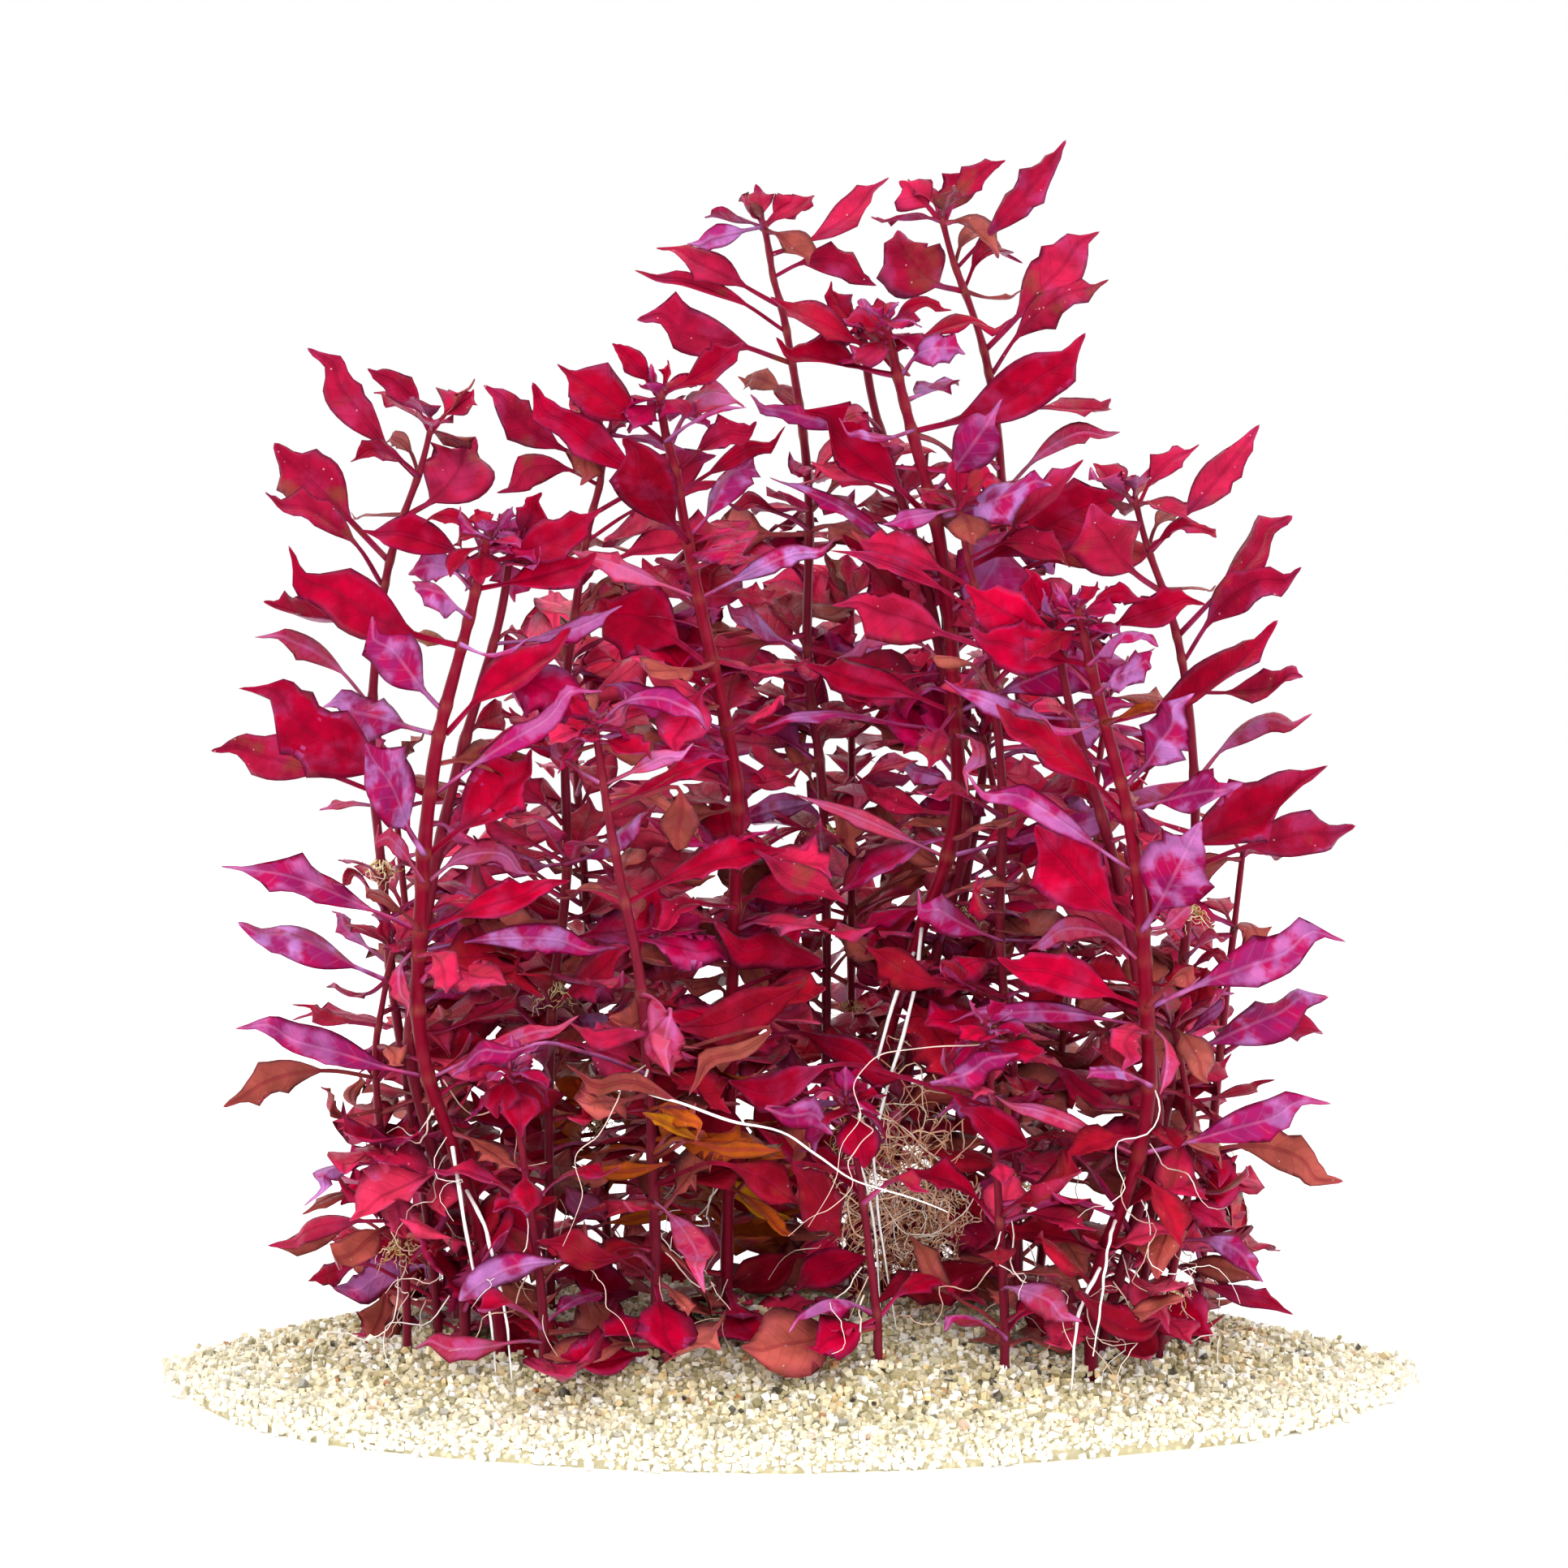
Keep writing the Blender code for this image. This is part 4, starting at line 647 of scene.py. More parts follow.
    def patch(self, rng: Rng, columns: int = 9, rows: int = 20) -> Patch:
        """Make the blade's closed skin.

        With s from -1 to 1 across and t from 0 to 1 along, a point lies s times the half width
        beside the middle line. Its height over it is a fold |s| tan(angle), a wave
        s^2 sin(f x + p), the teeth's bends and a droop of the tip. The two sides lie half a
        thickness over and under it, with a rib in the middle, and meet at the margins.

        Args:
            rng: Random numbers.
            columns: Points from margin to margin.
            rows: Rings from base to tip.

        Returns:
            The leaf as a patch.
        """
        even = np.linspace(-1.0, 1.0, columns)
        s = np.sign(even) * np.abs(even) ** 1.25
        step = np.linspace(0.0, 1.0, rows + 1)[:-1]
        t = step * 0.72 + 0.28 * (0.5 - 0.5 * np.cos(math.pi * step))
        t = t * (0.982 / t[-1])
        line, up, across, length = self.spine(t, rng)
        half, x, stalk = self.half_width(t, rng)
        widen, bend = self.margin(x, rng)
        left = (s < 0.0)[None]
        edge = np.abs(s)[None]
        reach = s[None] * half[:, None] * np.where(left, widen[:, :1], widen[:, 1:])
        fold = math.tan(math.radians(rng.uniform(*FOLD_SPAN)))
        wave = np.stack(
            [np.sin(rng.uniform(5.0, 9.0) * x + rng.uniform(0.0, TURN)) for _ in range(2)], axis=-1
        )
        wave = wave * rng.uniform(0.05, 0.2)
        rise = fold * (np.abs(reach) - 0.5 * half[:, None])
        for power, sides in ((2.2, wave), (2.6, bend)):
            rise = rise + half[:, None] * edge**power * np.where(left, sides[:, :1], sides[:, 1:])
        rise = rise + rng.uniform(-0.4, 0.2) * half[:, None] * edge**2
        swing = np.sin(rng.uniform(4.0, 8.0) * t + rng.uniform(0.0, TURN)) * np.sin(math.pi * t)
        rise = rise + (rng.uniform(0.0, 0.03) * length * swing)[:, None]
        near_tip = np.exp(-(((t - 0.84) / 0.1) ** 2)) * length
        rise = rise + rng.uniform(-0.07, 0.04) * near_tip[:, None]
        hook = rng.uniform(-0.085, 0.085) * near_tip
        stout = 0.2 + 0.55 * (1.0 - ease(t / (stalk * 1.9)))
        thick = stout[:, None] * np.sqrt(np.clip(1.0 - s**2, 0.0, 1.0))[None]
        rib = 0.16 * np.exp(-((s / 0.16) ** 2))[None] * (1.0 - 0.7 * t)[:, None]
        flat = line[:, None] + across[:, None] * (reach + hook[:, None])[..., None]
        top = flat + up[:, None] * (rise + thick / 2.0 - 0.4 * rib)[..., None]
        below = flat + up[:, None] * (rise - thick / 2.0 - rib * (thick > 0))[..., None]
        rings = np.concatenate([top, below[:, -2:0:-1]], axis=1)
        points, quads, tris = loft(rings, line[0], self.points[-1])
        lay = np.concatenate([reach, reach[:, -2:0:-1]], axis=1)
        under = np.zeros(lay.shape)
        under[:, columns:] = 1.0
        under[:, [0, columns - 1]] = 0.35
        # The leaf's strength of painted lilac sheen, a highlight that the leaf skin lays into its
        # colour.
        painted_sheen = TONES[self.kind].painted_sheen * rng.uniform(0.45, 1.4)
        rim = np.concatenate([edge[0], edge[0, -2:0:-1]])[None]
        grids = ((lay, (t * length)[:, None], under), (rim, x[:, None], painted_sheen))
        place, share = (
            with_poles(np.stack([np.broadcast_to(value, lay.shape) for value in grid], axis=-1))
            for grid in grids
        )
        return Patch(points, quads, tris, self.tint(rng, place, share), place, share)

    def tint(self, rng: Rng, place: Array, share: Array) -> Array:
        """Colour each vertex between its side's two colours, darker towards the stalk, times its painted
        light.

        Args:
            rng: Random numbers.
            place: The vertices' places.
            share: Their shares.

        Returns:
            Linear colour and dustiness of each vertex.
        """
        tone = TONES[self.kind]
        mix = rng.uniform(0.0, 1.0)
        upper, under = (
            mixed(linear(one), linear(other), mix) for one, other in (tone.upper, tone.under)
        )
        colour = mixed(upper, under, place[:, 2:3])
        # Painted light: the leaf's light factor brightens leaves that stand in shade.
        shade = self.light * rng.uniform(0.84, 1.14) * (0.72 + 0.28 * ease(share[:, 1:2] * 2.6))
        return np.concatenate([colour * shade, np.full((len(place), 1), tone.dust)], axis=1)


@dataclass
class Thread:
    """A hanging root or a fine root fibre.

    Attributes:
        points: Its middle line.
        radius: Radius near its start.
        shade: Colour.
        finish: Material slot.
    """

    points: Array
    radius: float
    shade: str
    finish: int = 2

    def patch(self, rng: Rng, rings: int = 26, sides: int = 6) -> Patch:
        """Make the root: a tube that narrows to 0.35 of its radius, swells and sways slightly.

        Args:
            rng: Random numbers.
            rings: Rings along it.
            sides: Corners of a ring.

        Returns:
            The root as a patch.
        """
        share = np.linspace(0.0, 1.0, rings)
        line, _ = smooth_line(self.points, share)
        sway = np.sin(share[:, None] * rng.uniform(18.0, 40.0, 3) + rng.uniform(0.0, TURN, 3))
        line = line + sway * (0.08 if self.radius > 0.2 else 0.24) * np.sin(math.pi * share)[:, None]
        swell = 1.0 + 0.12 * np.sin(share * rng.uniform(20.0, 34.0) + rng.uniform(0.0, 6.0))
        radii = self.radius * (1.0 - 0.65 * share**1.6) * swell
        points, quads, tris = tube(line, radii, sides)
        tint = np.concatenate([linear(self.shade) * rng.uniform(0.9, 1.05), [0.0]])
        spread = with_poles(np.broadcast_to(share[:, None, None], (rings, sides, 3)))
        return Patch(
            points, quads, tris, np.tile(tint, (len(points), 1)), spread, spread, self.finish
        )


@dataclass
class Stem:
    """A shoot's stem.

    Attributes:
        points: Middle line, from the socket in the sand to the crown.
        radii: Radius at each point.
        knots: Heights of the joints that the leaves grow from.
        stout: Whether it is one of the thick dark front stems.
        shades: Colours of a stout stem, a thin one, a young end, an old foot and a joint.
    """

    points: Array
    radii: Array
    knots: Array
    stout: bool
    shades: tuple[str, ...] = ("#74021C", "#70182A", "#80142C", "#4C0818", "#A86A50")

    @property
    def top(self) -> float:
        """Return the height of the stem's upper end."""
        return float(self.points[-1, 2])

    def at(self, height: float) -> tuple[Array, float]:
        """Return the stem's middle and radius at a height."""
        middle = [np.interp(height, self.points[:, 2], self.points[:, k]) for k in range(3)]
        return np.array(middle), float(np.interp(height, self.points[:, 2], self.radii))

    def patch(self, rng: Rng) -> Patch:
        """Make the stem: a tube with four low ridges, swollen at each joint by exp(-(d / 0.9)^2).

        Args:
            rng: Random numbers.

        Returns:
            The stem as a patch.
        """
        tall = self.points[-1, 2] - self.points[0, 2]
        share = np.linspace(0.0, 1.0, max(12, int(tall / 1.1)))
        line, _ = smooth_line(self.points, share)
        radii = np.interp(line[:, 2], self.points[:, 2], self.radii)
        away = np.abs(line[:, 2:] - self.knots[None]).min(axis=1, initial=1e3)
        radii = radii * 0.74 * (1.0 + 0.22 * np.exp(-((away / 0.9) ** 2)))
        radii = radii * (1.0 + 0.05 * np.sin(share * tall * 0.55 + rng.uniform(0.0, 6.0)))
        sides = 12 if self.stout else 8
        points, quads, tris = tube(line, radii, sides, 0.05)
        stout, thin, young, old, joint = (linear(code) for code in self.shades)
        colour = mixed(stout if self.stout else thin, young, 0.45 * ease((share - 0.55) / 0.5)[:, None])
        colour = mixed(colour, old, 0.5 * ease((0.35 - share) / 0.35)[:, None])
        colour = mixed(colour, joint, 0.25 * np.exp(-((away / 0.5) ** 2))[:, None])
        tint = np.concatenate([colour, np.full((len(line), 1), 0.2)], axis=1)
        tint = with_poles(np.broadcast_to(tint[:, None], (len(line), sides, 4)))
        far = with_poles(np.broadcast_to(line[:, None], (len(line), sides, 3)))
        return Patch(points, quads, tris, tint, far, far, 1)


@dataclass
class SolidShoot:
    """A packed shoot, read back as stem, leaves and roots.

    Attributes:
        name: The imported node.
        stem: Its stem.
        leaves: Its leaves, as they are in the solid.
        roots: Its hanging roots' middle lines.
    """

    name: str
    stem: Stem
    leaves: list[Leaf]
    roots: list[Array]

    @property
    def clump(self) -> str:
        """Return the first word of its name: its clump, or its kind if it stands alone."""
        return self.name.split("_")[0]

    @property
    def role(self) -> str:
        """Return its place in its clump, or its kind if it stands alone."""
        return self.name.rpartition("_shoot")[0].split("_")[-1]

    @property
    def thin(self) -> bool:
        """Return whether it is a thin shoot with dusty leaves, as behind the front ones."""
        return self.role in ("tall", "leaning", "side", "back")

    @staticmethod
    def merged(name: str) -> tuple[Array, Array]:
        """Read a node's mesh and merge its doubles.

        Args:
            name: The node.

        Returns:
            Its vertices, in millimetres, and its triangles.
        """
        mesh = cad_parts[name].data
        spots = np.zeros(len(mesh.vertices) * 3)
        mesh.vertices.foreach_get("co", spots)
        corners = np.zeros(len(mesh.loops), int)
        mesh.loops.foreach_get("vertex_index", corners)
        spots = np.round(spots.reshape(-1, 3) * 1000.0, 3)
        points, back = np.unique(spots, axis=0, return_inverse=True)
        return points, back.ravel()[corners].reshape(-1, 3)

    @classmethod
    def read(cls, name: str) -> "SolidShoot":
        """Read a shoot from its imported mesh.

        A leaf's or root's tip is a vertex of three faces. From it, rings of three vertices lead to
        the four corners of its place on the stem, which is 1.1 mm high. A root has more rings than
        a leaf, or is thin and hangs far down. What is left over is the stem, in rings of four.

        Args:
            name: The node.

        Returns:
            The shoot.
        """
        points, faces = cls.merged(name)
        near: list[set[int]] = [set() for _ in points]
        for face in faces.tolist():
            for corner in face:
                near[corner].update(c for c in face if c != corner)
        used: set[int] = set()
        leaves: list[Leaf] = []
        roots: list[Array] = []
        for tip in np.flatnonzero(np.bincount(faces.ravel(), minlength=len(points)) == 3):
            rings: list[list[int]] = []
            reached = {int(tip)}
            ring = near[tip]
            while len(ring) == 3:
                rings.append(sorted(ring))
                reached |= ring
                ring = set().union(*(near[k] for k in ring)) - reached
            foot = points[sorted(ring)]
            if len(ring) != 4 or abs(np.ptp(foot[:, 2]) - 1.1) > 0.01:
                continue
            used |= reached
            girth = max(np.ptp(points[ring], axis=0).max() for ring in rings)
            if len(rings) > 3 or (girth < 1.5 and foot[0, 2] - points[tip][2] > 12.0):
                middles = [points[ring].mean(axis=0) for ring in rings[::-1]]
                roots.append(np.array([foot.mean(axis=0)] + middles + [points[tip]]))
            else:
                leaves.append(cls.read_leaf(points, rings[::-1], foot.mean(axis=0), points[tip]))
        stem = cls.read_stem(points, used, name)
        stem.knots = np.array(sorted({round(float(leaf.points[0, 2]), 1) for leaf in leaves}))
        return cls(name, stem, leaves, roots)

    @staticmethod
    def read_leaf(points: Array, rings: list[list[int]], foot: Array, tip: Array) -> Leaf:
        """Read one leaf: each ring's longest side is the blade, its third corner the keel.

        Args:
            points: The shoot's vertices.
            rings: The leaf's rings, from its foot.
            foot: Where it leaves the stem.
            tip: Its tip.

        Returns:
            The leaf.
        """
        line = [foot]
        upward = []
        widths = []
        for k, ring in enumerate(rings):
            corners = points[ring]
            spans = [np.linalg.norm(corners[i] - corners[(i + 1) % 3]) for i in range(3)]
            i = int(np.argmax(spans))
            one, other, keel = corners[i], corners[(i + 1) % 3], corners[(i + 2) % 3]
            middle = (one + other) / 2.0
            after = tip if k == len(rings) - 1 else points[rings[k + 1]].mean(axis=0)
            normal = unit(np.cross(other - one, after - line[-1]))
            if normal @ (middle - keel) < 0.0:
                normal = -normal
            line.append(middle)
            upward.append(normal)
            widths.append(spans[i])
        line.append(tip)
        line[0] = line[0] + unit(line[1] - line[0]) * -0.3
        width = max(widths) * (1.2 if len(rings) == 3 else 1.06)
        return Leaf(np.array(line), np.array([upward[0]] + upward + [upward[-1]]), width, Kind.DUSTY)

    @staticmethod
    def read_stem(points: Array, used: set[int], name: str) -> Stem:
        """Read the stem from its square rings.

        Args:
            points: The shoot's vertices.
            used: Those of leaves and roots.
            name: The node.

        Returns:
            The stem, still without knots.
        """
        rest = points[sorted(set(range(len(points))) - used)]
        _, level, count = np.unique(np.round(rest[:, 2], 2), return_inverse=True, return_counts=True)
        middles = []
        radii = []
        for k in np.flatnonzero(count == 4):
            ring = rest[level.ravel() == k]
            spread = np.ptp(ring[:, :2], axis=0)
            if abs(spread[0] - spread[1]) < 0.03:
                middles.append(ring.mean(axis=0))
                radii.append(spread[0] / 2.0)
        stout = name.endswith("front_shoot") or name == "inner_shoot"
        return Stem(np.array(middles), np.array(radii) * 1.06, np.zeros(0), stout)

    def name_leaves(self, near: float = 3.0) -> None:
        """Give each leaf the kind that the photograph shows near its tip, or else the shoot's rule.

        Args:
            near: How far off the place in the photograph may be.
        """
        rule = BACK_KINDS if self.clump == "back" else YOUNG_KINDS
        rows = [(kind, tip) for kind, tips in TIPS.get(self.role, {}).items() for tip in tips]
        spots = np.array([tip for _, tip in rows]).reshape(-1, 2)
        for number, leaf in enumerate(sorted(self.leaves, key=lambda item: item.points[0, 2])):
            across, height = seen(leaf.points[-1])
            if self.clump == "right":
                across, height = across - RIGHT_SHIFT[0], height - RIGHT_SHIFT[1]
            if self.clump == "left":
                across, height = LEFT_SHIFT[0] - across, height - LEFT_SHIFT[1]
            away = np.hypot(spots[:, 0] - across, spots[:, 1] - height)
            found = away.min(initial=near) < near
            leaf.kind = rows[int(np.argmin(away))][0] if found else rule[number % len(rule)]


@dataclass
class Thicket:
    """The space that leaves already fill, as a grid of cells.

    Attributes:
        cell: Size of a cell.
        low: Corner of the grid.
        taken: Whether each cell is taken.
    """

    cell: float = 1.1
    low: Array = field(default_factory=lambda: np.array([-105.0, -75.0, -5.0]))
    taken: Array = field(default_factory=lambda: np.zeros((192, 138, 182), bool))

    def cells(self, points: Array) -> tuple[Array, Array, Array]:
        """Return the cells that points fall in."""
        spot = np.floor((points - self.low) / self.cell).astype(int)
        spot = np.clip(spot, 0, np.array(self.taken.shape) - 1)
        return spot[:, 0], spot[:, 1], spot[:, 2]

    def fill(self, points: Array) -> None:
        """Mark the cells of a surface's points as taken."""
        self.taken[self.cells(points)] = True

    def free(self, points: Array, share: float) -> bool:
        """Return whether no more than a share of points lies in taken cells."""
        return float(self.taken[self.cells(points)].mean()) <= share


@dataclass
class Sight:
    """The photograph's view as a grid of cells.

    Attributes:
        cell: Size of a cell.
        count: Number of cells across and up.
        low: Corner of the grid, across and up.
        dense: Height below which leaves lie twice as deep.
        nearest: Depth of the foremost surface in each cell.
        hits: How many points of leaves each cell holds.
    """

    cell: float = 1.4
    count: int = 150
    low: tuple[float, float] = (-105.0, -12.0)
    dense: float = 75.0
    nearest: Array = field(init=False)
    hits: Array = field(init=False)

    def __post_init__(self) -> None:
        """Start with an empty view."""
        self.nearest = np.full((self.count, self.count), np.inf)
        self.hits = np.zeros((self.count, self.count), int)

    def cells_at(self, places: Array) -> tuple[Array, Array]:
        """Return the cells of places in the photograph."""
        spot = np.clip(np.floor((places - self.low) / self.cell).astype(int), 0, self.count - 1)
        return spot[..., 0], spot[..., 1]

    def show(self, points: Array, above: float = 40.0) -> None:
        """Note a surface, and that nothing added may hide what the photo shows above a height."""
        kept = points[seen(points)[:, 1] > above]
        np.minimum.at(self.nearest, self.cells_at(seen(kept)), kept[:, 1])
        self.cover(points)

    def cover(self, points: Array) -> None:
        """Note a surface that covers what is behind it."""
        np.add.at(self.hits, self.cells_at(seen(points)), 1)

    def hidden(self, points: Array) -> float:
        """Return the share of points that would hide something the photograph shows."""
        shown = self.nearest[self.cells_at(seen(points))]
        return float(np.mean(np.isfinite(shown) & (points[:, 1] < shown - 0.3)))

    def foremost(self, places: Array) -> float:
        """Return the depth of the foremost surface noted in or next to the cells of places."""
        steps = (-self.cell, 0.0, self.cell)
        beside = np.array([(a, b) for a in steps for b in steps])
        near = self.nearest[self.cells_at((places[:, None] + beside[None]).reshape(-1, 2))]
        return float(near[np.isfinite(near)].min()) if np.isfinite(near).any() else 0.0

    def is_open(self, places: Array) -> Array:
        """Return whether places are hit too seldom: under four times where dense, or twice above."""
        return self.hits[self.cells_at(places)] < np.where(places[..., 1] < self.dense, 4, 2)

    def gaps(self) -> Array:
        """Return the middles of the open cells inside the thicket's outline."""
        steps = np.arange(self.count)
        across, height = np.meshgrid(steps, steps, indexing="ij")
        middles = (np.stack([across, height], axis=-1) + 0.5) * self.cell + self.low
        return middles[in_outline(middles) & self.is_open(middles)]


# An added leaf has smooth margins, and its colours carry painted light, brightened for the little light
# that reaches it.
ADDED_LEAF = {"toothed": 0.25, "light": 1.6}


@dataclass
class Grower:
    """Grows the small leaves and roots that the solid shoots leave to the scene.

    Attributes:
        thicket: What is taken.
        sight: What the photograph shows.
        gap: Distance between leaf pairs on a bare stretch.
        blade: Share of a leaf's length from its stem to the widest part of its blade.
        forward: How far before its stem a drawn leaf may lie.
        fine: Colours of fine roots.
        dead: Colours of dead roots.
    """

    thicket: Thicket
    sight: Sight
    gap: float = 5.4
    blade: float = 0.62
    forward: float = 15.0
    fine: tuple[str, ...] = ("#F4DCD0", "#E0B8A4", "#FFF6F0", "#C89C80")
    dead: tuple[str, ...] = ("#E8C888", "#FFF0C8", "#C09448")

    def arc(self, start: Array, turn: float, rise: float, length: float, droop: float) -> Array:
        """Bend a line out of the stem.

        It leaves at the angle rise over the level and turns down by droop radians on its way:
        the direction at share s is (cos a, sin a) with a = rise - droop s.

        Args:
            start: Where it leaves.
            turn: Direction round the stem.
            rise: Angle over the level at the start.
            length: Length of the line.
            droop: How far it turns down.

        Returns:
            Six points.
        """
        angle = rise - droop * np.linspace(0.0, 1.0, 6)
        flat = np.cumsum(np.cos(angle)) - math.cos(rise)
        lift = np.cumsum(np.sin(angle)) - math.sin(rise)
        return start + (around(turn) * flat[:, None] + UP * lift[:, None]) * length / 5.0

    def leaf(
        self, stem: Stem, height: float, turn: float, rise: float, length: float, droop: float,
        kind: Kind, slender: float, **traits: float,
    ) -> Leaf:
        """Make a leaf that grows from a stem.

        Args:
            stem: The stem.
            height: Where it grows from.
            turn: Direction round the stem.
            rise: Angle over the level at its start.
            length: Length with its stalk.
            droop: How far it turns down, in radians.
            kind: What it shows.
            slender: Width as a share of the length.
            **traits: More of the leaf's own fields.

        Returns:
            The leaf.
        """
        middle, radius = stem.at(height)
        points = self.arc(middle + around(turn) * radius * 0.5, turn, rise, length, droop)
        along = unit(np.gradient(points, axis=0))
        upward = unit(np.cross((math.sin(turn), -math.cos(turn), 0.0), along))
        return Leaf(points, upward, length * slender, kind, **traits)

    def crown(self, shoot: SolidShoot, rng: Rng) -> list[Leaf]:
        """Grow the tight rosette of small curled leaves at the top of a shoot.

        Leaf k stands 2.4 radians round from the one above it, a little lower, flatter and longer.

        Args:
            shoot: The shoot.
            rng: Random numbers.

        Returns:
            Five wide-set leaves on a thin shoot, or eleven close ones.
        """
        thin = shoot.thin
        count, fall, short, longer = (5, 11.0, 7.4, 0.9) if thin else (11, 6.0, 3.8, 0.5)
        wide = (0.5, 0.6) if thin else (0.58, 0.78)
        odd, even = (Kind.BROWN, Kind.DUSTY) if thin else (Kind.CRIMSON, Kind.VIOLET)
        leaves = []
        spin = rng.uniform(0.0, TURN)
        for k in range(count):
            rise = math.radians(56.0 - fall * k + rng.uniform(-14.0, 14.0))
            length = short + longer * k + rng.uniform(-0.6, 1.2)
            turn = spin + 2.4 * k + rng.uniform(-0.3, 0.3)
            bend = rng.uniform(-0.6, 0.9) if k < 3 else rng.uniform(-0.2, 1.6)
            # Painted light: a thick shoot's crown leaves are brightened by 1.3.
            leaf = self.leaf(
                shoot.stem, shoot.stem.top - 0.35 * k, turn, rise, length, bend,
                odd if k % 3 == 1 else even, rng.uniform(*wide),
                toothed=0.9, stalk=0.1, light=1.0 if thin else 1.3,
            )
            leaves.append(leaf.rolled_to_light(rng.uniform(-0.2, 0.8)))
        return leaves

    def settle(self, leaf: Leaf, rng: Rng, touch: float) -> Patch | None:
        """Make a leaf if it lies free, over the sand, and hides nothing that the photo shows.

        Args:
            leaf: The leaf.
            rng: Random numbers.
            touch: Share of it that may lie in taken space.

        Returns:
            The leaf's skin, or None.
        """
        outer = leaf.points[2:]
        if (outer[:, 2] - heap_height(outer)).min() < 0.5 or not in_outline(seen(outer)).all():
            return None
        patch = leaf.patch(rng, 5, 13)
        blade = patch.points[24:]
        if not self.thicket.free(blade, touch) or self.sight.hidden(blade) > 0.05:
            return None
        self.thicket.fill(blade)
        self.sight.cover(blade)
        return patch

    def kind_at(self, height: float, across: float, rng: Rng) -> Kind:
        """Choose a kind for an added leaf: darker and browner low down, rusty in the dark middle."""
        kinds = FOOT_KINDS if height < 66.0 else MIDDLE_KINDS
        if -33.0 < across < 6.0 and 22.0 < height < 48.0:
            kinds = RUSTY_KINDS
        return kinds[int(rng.integers(len(kinds)))]

    def bare_leaves(self, shoot: SolidShoot, rng: Rng) -> list[Patch]:
        """Grow leaves in pairs, each pair square to the last, between the solid leaves.

        Args:
            shoot: The shoot.
            rng: Random numbers.

        Returns:
            The leaves that found room.
        """
        spin = rng.uniform(0.0, TURN)
        patches = []
        height = 14.5 + rng.uniform(0.0, 2.0)
        while height < shoot.stem.top - 9.0:
            spin += math.pi / 2.0 + rng.uniform(-0.3, 0.3)
            for turn in (spin, spin + math.pi):
                full = rng.uniform(12.0, 20.0) * (0.7 if shoot.clump == "young" else 1.0)
                for attempt in range(8):
                    kind = self.kind_at(height, float(seen(shoot.stem.at(height)[0])[0]), rng)
                    leaf = self.leaf(
                        shoot.stem, height, turn + rng.uniform(-0.6, 0.6),
                        math.radians(rng.uniform(-8.0, 55.0)), full * (1.0 - 0.05 * attempt),
                        rng.uniform(-0.2, 1.3), kind, rng.uniform(0.38, 0.52), **ADDED_LEAF,
                    )
                    patch = self.settle(leaf.rolled_to_light(rng.uniform(0.0, 0.8)), rng, 0.08)
                    if patch is not None:
                        patches.append(patch)
                        break
            height += self.gap + rng.uniform(-1.0, 1.0)
        return patches

    def gap_leaf(self, stem: Stem, across: float, height: float, touch: float, rng: Rng) -> Patch | None:
        """Try a leaf that covers an open place of the view.

        A leaf of length L leaves the stem at the turn whose cosine is the way to the place over
        the blade's share of L, so that its blade lies before the place.

        Args:
            stem: The stem that it grows from.
            across: The place in the photograph, across.
            height: The place in the photograph, up.
            touch: Share of it that may lie in taken space.
            rng: Random numbers.

        Returns:
            The leaf's skin, or None.
        """
        length = rng.uniform(13.0, 22.0)
        low, high = (-45.0, 10.0) if height < 26.0 else (-12.0, 42.0)
        rise = math.radians(rng.uniform(low, high))
        base = height - self.blade * length * math.sin(rise) - rng.uniform(-1.0, 2.0)
        middle, _ = stem.at(base)
        base -= middle[1] * math.sin(TILT)
        away = (across - float(seen(middle)[0])) / (self.blade * length * math.cos(rise))
        foot = max(stem.points[0, 2] + 2.0, 9.5)
        if abs(away) > 1.0 or not foot < base < stem.top - 3.0:
            return None
        turn = math.acos(away) * rng.choice([-1.0, 1.0])
        leaf = self.leaf(
            stem, base, turn, rise, length, rng.uniform(-0.3, 0.6),
            self.kind_at(height, across, rng), rng.uniform(0.42, 0.58), **ADDED_LEAF,
        )
        return self.settle(leaf.rolled_to_light(rng.uniform(0.6, 1.6)), rng, touch)

    def gap_leaves(self, shoots: list[SolidShoot], rng: Rng) -> dict[str, list[Patch]]:
        """Grow leaves where the photograph shows leaves and the view is still open.

        The view is gone over seven times, and each time leaves may touch each other more.

        Args:
            shoots: All shoots.
            rng: Random numbers.

        Returns:
            The new leaves of each shoot.
        """
        grown: dict[str, list[Patch]] = {shoot.name: [] for shoot in shoots}
        lines = [seen(shoot.stem.points) for shoot in shoots]
        for sweep in range(7):
            gaps = self.sight.gaps()
            rng.shuffle(gaps)
            for across, height in gaps:
                if not self.sight.is_open(np.array([across, height])):
                    continue
                near = [
                    k for k, line in enumerate(lines)
                    if abs(np.interp(height, line[:, 1], line[:, 0]) - across) < 12.0
                ]
                for k in rng.permutation(near)[:3]:
                    patch = self.gap_leaf(shoots[k].stem, across, height, 0.16 + 0.03 * sweep, rng)
                    if patch is not None:
                        grown[shoots[k].name].append(patch)
                        break
        return grown

    def holder(self, shoots: list[SolidShoot], point: Array) -> SolidShoot:
        """Find the shoot whose stem passes nearest to a point, a short one counting as far off.

        Args:
            shoots: All shoots.
            point: The point.

        Returns:
            The shoot.
        """
        away = []
        for shoot in shoots:
            middle, _ = shoot.stem.at(float(point[2]))
            short = max(0.0, float(point[2] - shoot.stem.top))
            away.append(float(np.linalg.norm(middle[:2] - point[:2])) + 30.0 * short)
        return shoots[int(np.argmin(away))]

